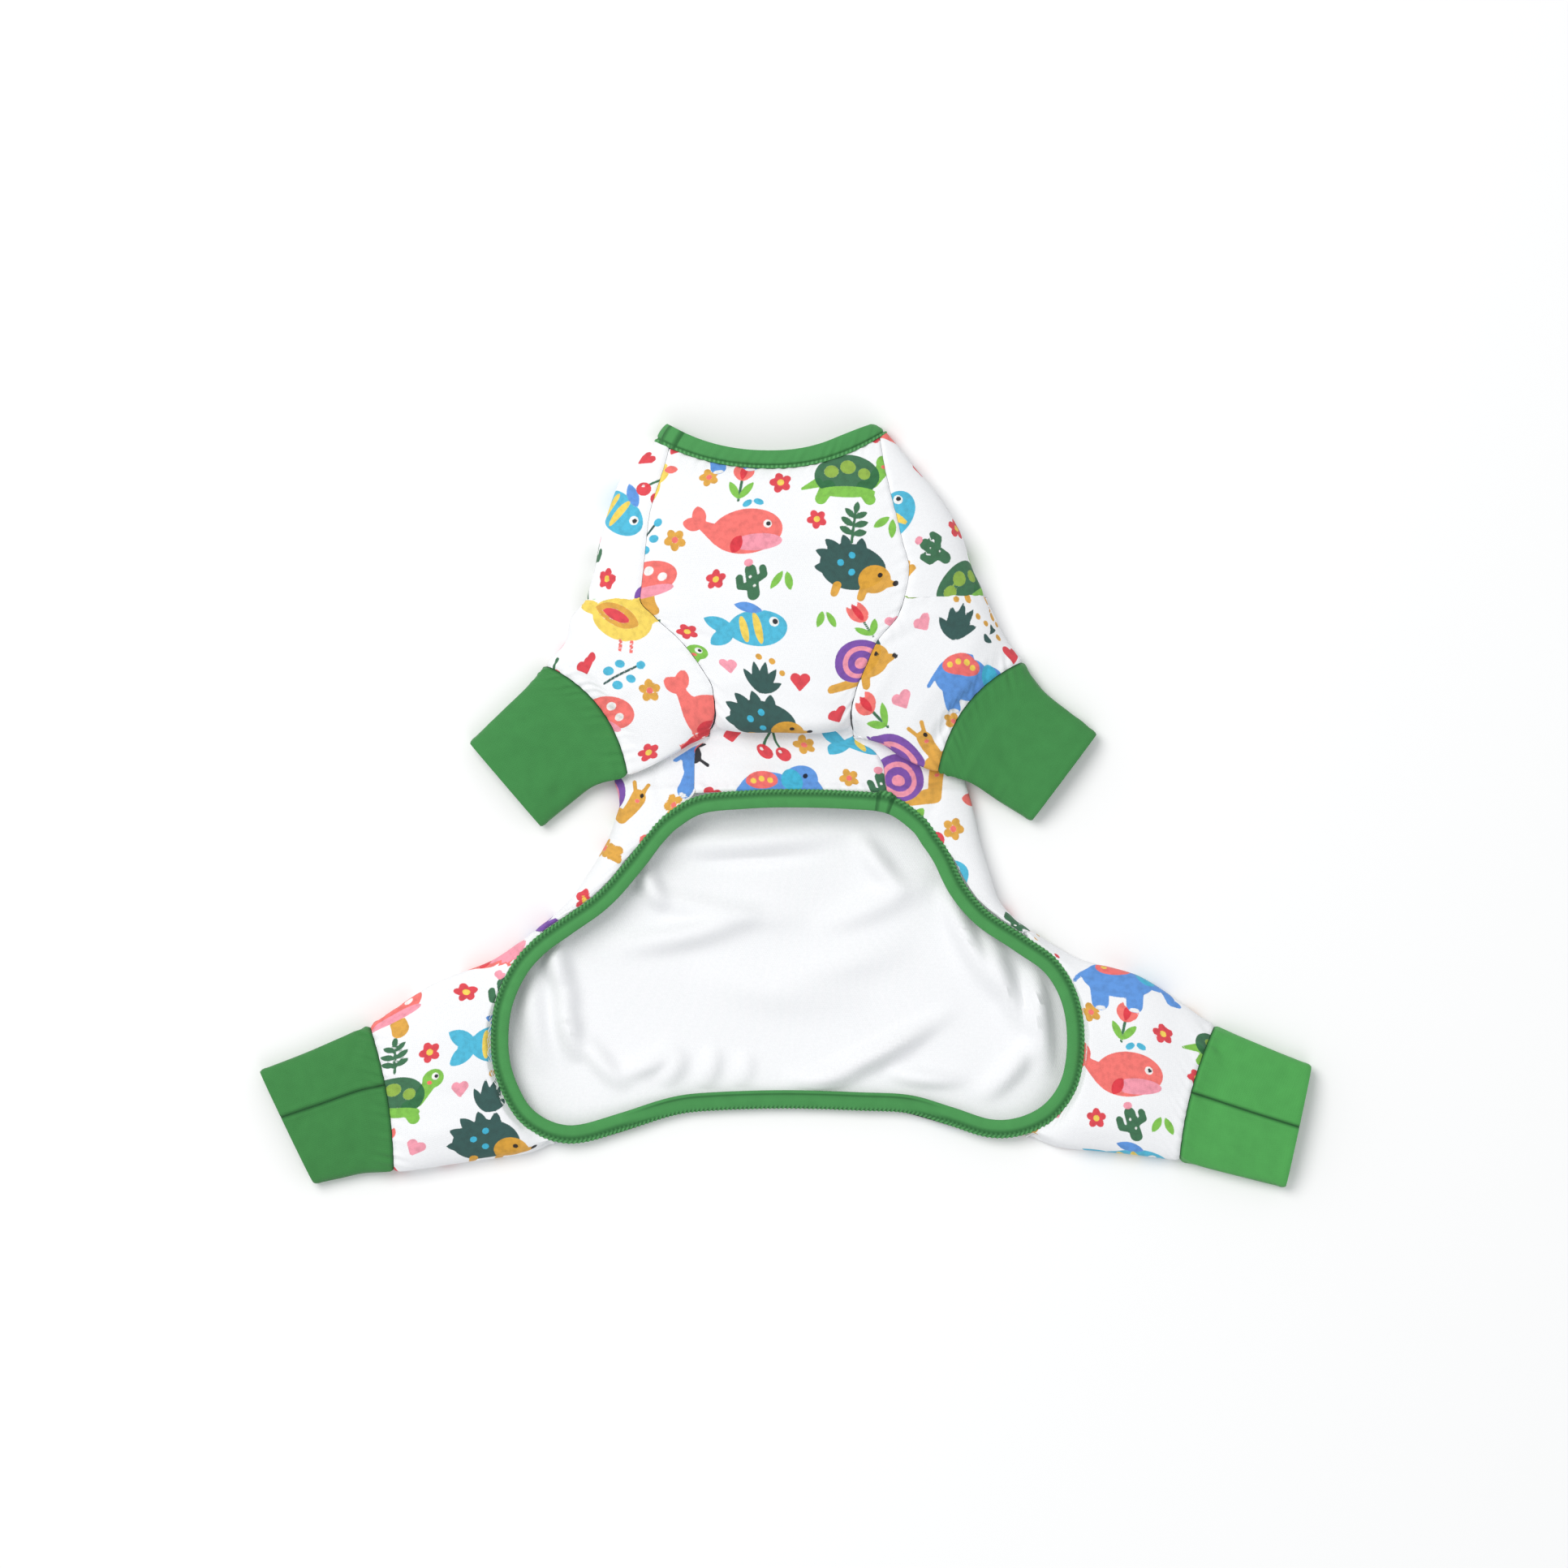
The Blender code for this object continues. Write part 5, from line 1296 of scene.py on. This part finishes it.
def limb_cuff(kind, side, first):
    """The ribbed cuff, with a rolled hem, and on a hind leg a seam over its top."""
    name, flat, area = LIMB_CUFFS[kind]
    lines = np.linspace(CUFF_LINE + 0.01, CUFF_LINE + 3, CUFF_RINGS)
    points, column = rolled_up(limb_rings(kind, side, lines, first))
    flow, run, down = limb_flow(points)
    up = facing_up(points)
    far = down[-1:] - down
    lift = seamed("cuff", run, down) + seamed("hem", run, far) + 0.0002 * bell(far - 0.0026, 0.0012)
    lift = lift + limb_hills(points, up, down, 21, 0.05, 0.0005, 0.006)
    groove = 0 * run
    if kind == "hind":
        where = column(CUFF_SEAM[side])
        off = run - run[:, where : where + 1]
        groove = bell(off, 0.0008) * up
        lift = lift - 0.0009 * groove + 0.0003 * bell(np.abs(off) - 0.0022, 0.0010) * up
    points = raised(points, lift)
    # Painted shade: darker between the overlock threads along the lower edge, in a strip next to the seam to
    # the sleeve, and in a hind cuff's seam groove
    low = column(1.0)
    beside = np.abs(run - run[:, low : low + 1])
    hem = (1 - stitches(down, beside, THREAD_PITCH, 0.6)) * bell(beside, HEM_WIDTH)
    painted_seam_shade = np.clip(1 - down / 0.0012, 0, 1)
    notes = {"seam_shade": np.maximum(np.maximum(groove, painted_seam_shade), HEM_SHADE[kind] * hem)}
    flow = np.stack([run, down], axis=-1)
    finish = GREEN_RIB if kind == "front" else HIND_RIBS[side]
    piece = cloth_piece(name + side, points, flow, RIB, [finish], closed=True, notes=notes)
    settled(piece, name + side)


# Neck band
NECK_WIDTH = 0.0084
NECK_ACROSS = (-0.04, 1)  # from under the seam to the free edge, as shares of NECK_WIDTH
NECK_ROWS = 23
NECK_STEPS = 1000
NECK_TAB = (-0.0566, 0.1639)  # where the band's end is folded over its start
NECK_TAB_WIDTH = 0.0095


def neck_points():
    t = at_row(0.0)
    top = list(top_point(t, "left", np.linspace(1, 0, 30)))
    x = np.linspace(t["left_edge"], t["right_edge"], 141)[1:-1]
    top += list(point(x, line_y(t, x), crown_height(t, x)))
    top += list(top_point(t, "right", np.linspace(0, 1, 30)))
    below = list(corner_point(t, "right", np.linspace(0.1, 1, 10)))
    x = np.linspace(t["right"] - t["corner"], t["left"] + t["corner"], 81)[1:-1]
    below += list(point(x, line_y(t, x), 0 * x))
    below += list(corner_point(t, "left", np.linspace(1, 0.1, 10)))
    line = resample(np.array(top + below + top[:1]), NECK_STEPS)[:-1]
    share = np.clip((line[:, 0] - t["left"]) / (t["right"] - t["left"]), 0, 1)
    taper = 1 - 0.5 * np.clip((share - 0.80) / 0.20, 0, 1) ** 2
    inwards = 0.006 * (1 - share) ** 3 - 0.0075 * share**3
    rings = []
    for across in np.linspace(*NECK_ACROSS, NECK_ROWS):
        ring = line.copy()
        ring[:, 0] += inwards * max(across, 0)
        ring[:, 1] += 0.0002 + NECK_WIDTH * across * taper
        rings.append(ring)
    return np.array(rings)


def neck_binding():
    points = neck_points()
    middle = points.mean(axis=1, keepdims=True)
    points = np.concatenate([points, points[:, :1]], axis=1)
    if faces_inwards(points, middle):
        points = points[:, ::-1]
    run, down = runs(points)
    across = np.linspace(*NECK_ACROSS, NECK_ROWS)[:, None]
    roll = 0.0008 * np.sin(np.pi * np.clip((across - 0.18) / 0.82, 0, 1)) ** 0.6
    roll = roll - 0.0006 * bell(across - 0.17, 0.05)
    ticks = stitches(run, across * NECK_WIDTH, THREAD_PITCH, 0.55)
    low = bell(across - 0.05, 0.10)
    lift = roll + 0.00045 * ticks * low + seamed("neck", run, across * NECK_WIDTH)
    tab = band_tab(run, tab_place(points, NECK_TAB), NECK_TAB_WIDTH)
    lift = lift + 0.0009 * tab * np.clip(across * 6, 0, 1)
    points = raised(points, lift)
    points[..., 2] = np.maximum(points[..., 2], 0.0001)
    # Painted shade: a dark line in the groove beside the seam, darker gaps between the overlock threads along
    # the lower edge, and darker edges where the tab folds over
    shade = np.maximum(0.8 * bell(across - 0.17, 0.04), 0.45 * (1 - ticks) * low)
    notes = {"seam_shade": np.maximum(shade, 0.7 * 4 * tab * (1 - tab)), "thread": low * ticks}
    flow = np.stack([run, down], axis=-1)
    piece = cloth_piece("neck_binding", points, flow, RIB, [GREEN_BAND], closed=True, notes=notes)
    settled(piece, "neck_binding")


def stitches(run, across, pitch, lean):
    """Slanted overlock threads side by side: 1 on a thread and 0 between two."""
    phase = (run + across * lean) / pitch
    return 0.5 + 0.5 * np.cos(2 * np.pi * phase)


def tab_place(points, place):
    """Run number of the column nearest to a place on the floor plan."""
    middle = points[len(points) // 2]
    far = np.hypot(middle[:, 0] - place[0], middle[:, 1] - place[1]) - middle[:, 2]
    return int(np.argmin(far))


def band_tab(run, column, width):
    """Where a band's end is folded over its start."""
    off = run - run[:, column : column + 1]
    return np.clip(1.5 - np.abs(off) / (width / 2) * 1.5, 0, 1) ** 0.5


# Band round the belly opening
BAND_STEPS = 2400
BAND_SECTION = 28
BAND_TAB = (0.0488, -0.0137)
BAND_PITCH = 0.00215  # from one overlock thread to the next


def opening_binding():
    line = band_line(BAND_STEPS)
    outwards = outwards_of(line)
    run = np.concatenate([[0], np.cumsum(np.linalg.norm(np.diff(line, axis=0), axis=1))])[:, None]
    angle = np.linspace(0, 2 * np.pi, BAND_SECTION + 1)[None, :]
    c, s = np.cos(angle), np.sin(angle)
    a = 0.5 * np.sign(c) * np.abs(c) ** 0.62
    b = 0.5 * np.sign(s) * np.abs(s) ** 0.75
    upper = np.clip(s * 3, 0, 1)
    rump = np.clip((0.080 - np.abs(line[:, :1])) / 0.02, 0, 1) * (line[:, 1:2] < -0.1)
    seam_at = 0.24 + 0.10 * rump
    trough = bell(a - seam_at, 0.065) * upper * (1 - rump) + 0.8 * bell(a + 0.27, 0.055) * upper * rump
    ticks = stitches(run, a * BINDING_WIDTH, BAND_PITCH, 0.9)
    outer = np.clip((a - seam_at) / 0.08, 0, 1)
    crown = 0.0005 * upper * np.sin(np.pi * np.clip((seam_at - a) / (seam_at + 0.5), 0, 1)) ** 0.7
    height = BINDING_THICK * b + crown - 0.0008 * trough - 0.0003 * outer * upper
    height = height + 0.00060 * ticks * outer * upper
    height = height + ripple(run, 0 * run, 31, 0.02, 0.00012) * upper
    wide = BINDING_WIDTH * (a * 1.03 + 0.045 * ticks * outer * c)
    start = int(np.argmin(np.hypot(line[:, 0] - BAND_TAB[0], line[:, 1] - BAND_TAB[1])))
    off = np.abs(run - run[start])
    tab = np.clip(1.6 - off / 0.0042 * 1.6, 0, 1) ** 0.5
    height = height + 0.0006 * tab * upper * (a < seam_at + 0.3)
    wide = wide + 0.0016 * tab * np.clip(c, 0, 1)
    centre = line - [0, 0, BINDING_THICK / 2]
    points = centre[:, None, :] + outwards[:, None, :] * wide[..., None]
    points[..., 2] += height
    # Painted shade: dark in the seam's groove (trough), between the overlock threads on the outer lip, and at
    # the folded tab's edges; the stretch along the rump is painted a little darker all over
    edge = tab * (1 - tab) * 4
    gaps = (1 - ticks) * outer * upper
    shade = np.clip(trough + (0.65 + 0.15 * rump) * gaps + 0.7 * edge * upper + 0.10 * rump, 0, 1)
    flow = np.stack(np.broadcast_arrays(run, a * BINDING_WIDTH), axis=-1)
    notes = {"seam_shade": shade, "thread": ticks * outer * upper}
    points = np.concatenate([points, points[:1]])
    middle = np.concatenate([centre, centre[:1]])[:, None, :]
    flow = np.concatenate([flow, flow[-1:]])
    notes = {word: np.concatenate([values, values[:1]]) for word, values in notes.items()}
    if faces_inwards(points, middle):
        points, flow = points[:, ::-1], flow[:, ::-1]
        notes = {word: values[:, ::-1] for word, values in notes.items()}
    piece = cloth_piece("opening_binding", points, flow, 0, [GREEN_BAND], closed=True, notes=notes)
    settled(piece, "opening_binding")


def soft_light(name, place, aim, size, power, tint):
    all_deselected()
    bpy.ops.object.light_add(type="AREA", location=place)
    lamp = bpy.context.object
    lamp.name = name
    lamp.data.shape = "DISK"
    lamp.data.size = size
    lamp.data.energy = power
    lamp.data.color = tint
    lamp.rotation_euler = (Vector(aim) - Vector(place)).to_track_quat("-Z", "Y").to_euler()


def studio():
    all_deselected()
    bpy.ops.mesh.primitive_plane_add(size=9, location=(0, 0, -0.0005))
    floor = bpy.context.object
    floor.name = "floor"
    pale = bpy.data.materials.new("pale floor")
    pale.use_nodes = True
    shader = pale.node_tree.nodes["Principled BSDF"]
    shader.inputs["Base Color"].default_value = (0.93, 0.93, 0.93, 1)
    shader.inputs["Roughness"].default_value = 0.9
    shader.inputs["Specular IOR Level"].default_value = 0.0
    floor.data.materials.append(pale)
    world = bpy.data.worlds.new("bright room")
    bpy.context.scene.world = world
    world.use_nodes = True
    sky = world.node_tree.nodes["Background"]
    sky.inputs["Color"].default_value = (0.97, 0.985, 1.0, 1)
    sky.inputs["Strength"].default_value = 0.62
    soft_light("key light", (-1.2, 1.1, 2.5), (0, 0, 0), 2.0, 53, (1.0, 0.99, 0.97))
    soft_light("fill light", (0.5, -1.8, 1.5), (0, 0, 0), 1.6, 6, (0.97, 0.985, 1.0))
    bpy.ops.object.camera_add(location=(-0.0008, 0.0106, 3.864))
    camera = bpy.context.object
    camera.name = "photo camera"
    camera.data.lens = 180
    camera.data.sensor_width = 36
    camera.data.dof.use_dof = False
    bpy.context.scene.camera = camera
    bpy.context.scene.view_settings.view_transform = "Standard"


back_panel()
chest_panel()
for kind, root_ring in (("front", front_root), ("hind", hind_root)):
    for side in ("left", "right"):
        limb_cloth(kind, side, root_ring(side))
        limb_cuff(kind, side, root_ring(side))
neck_binding()
opening_binding()
studio()
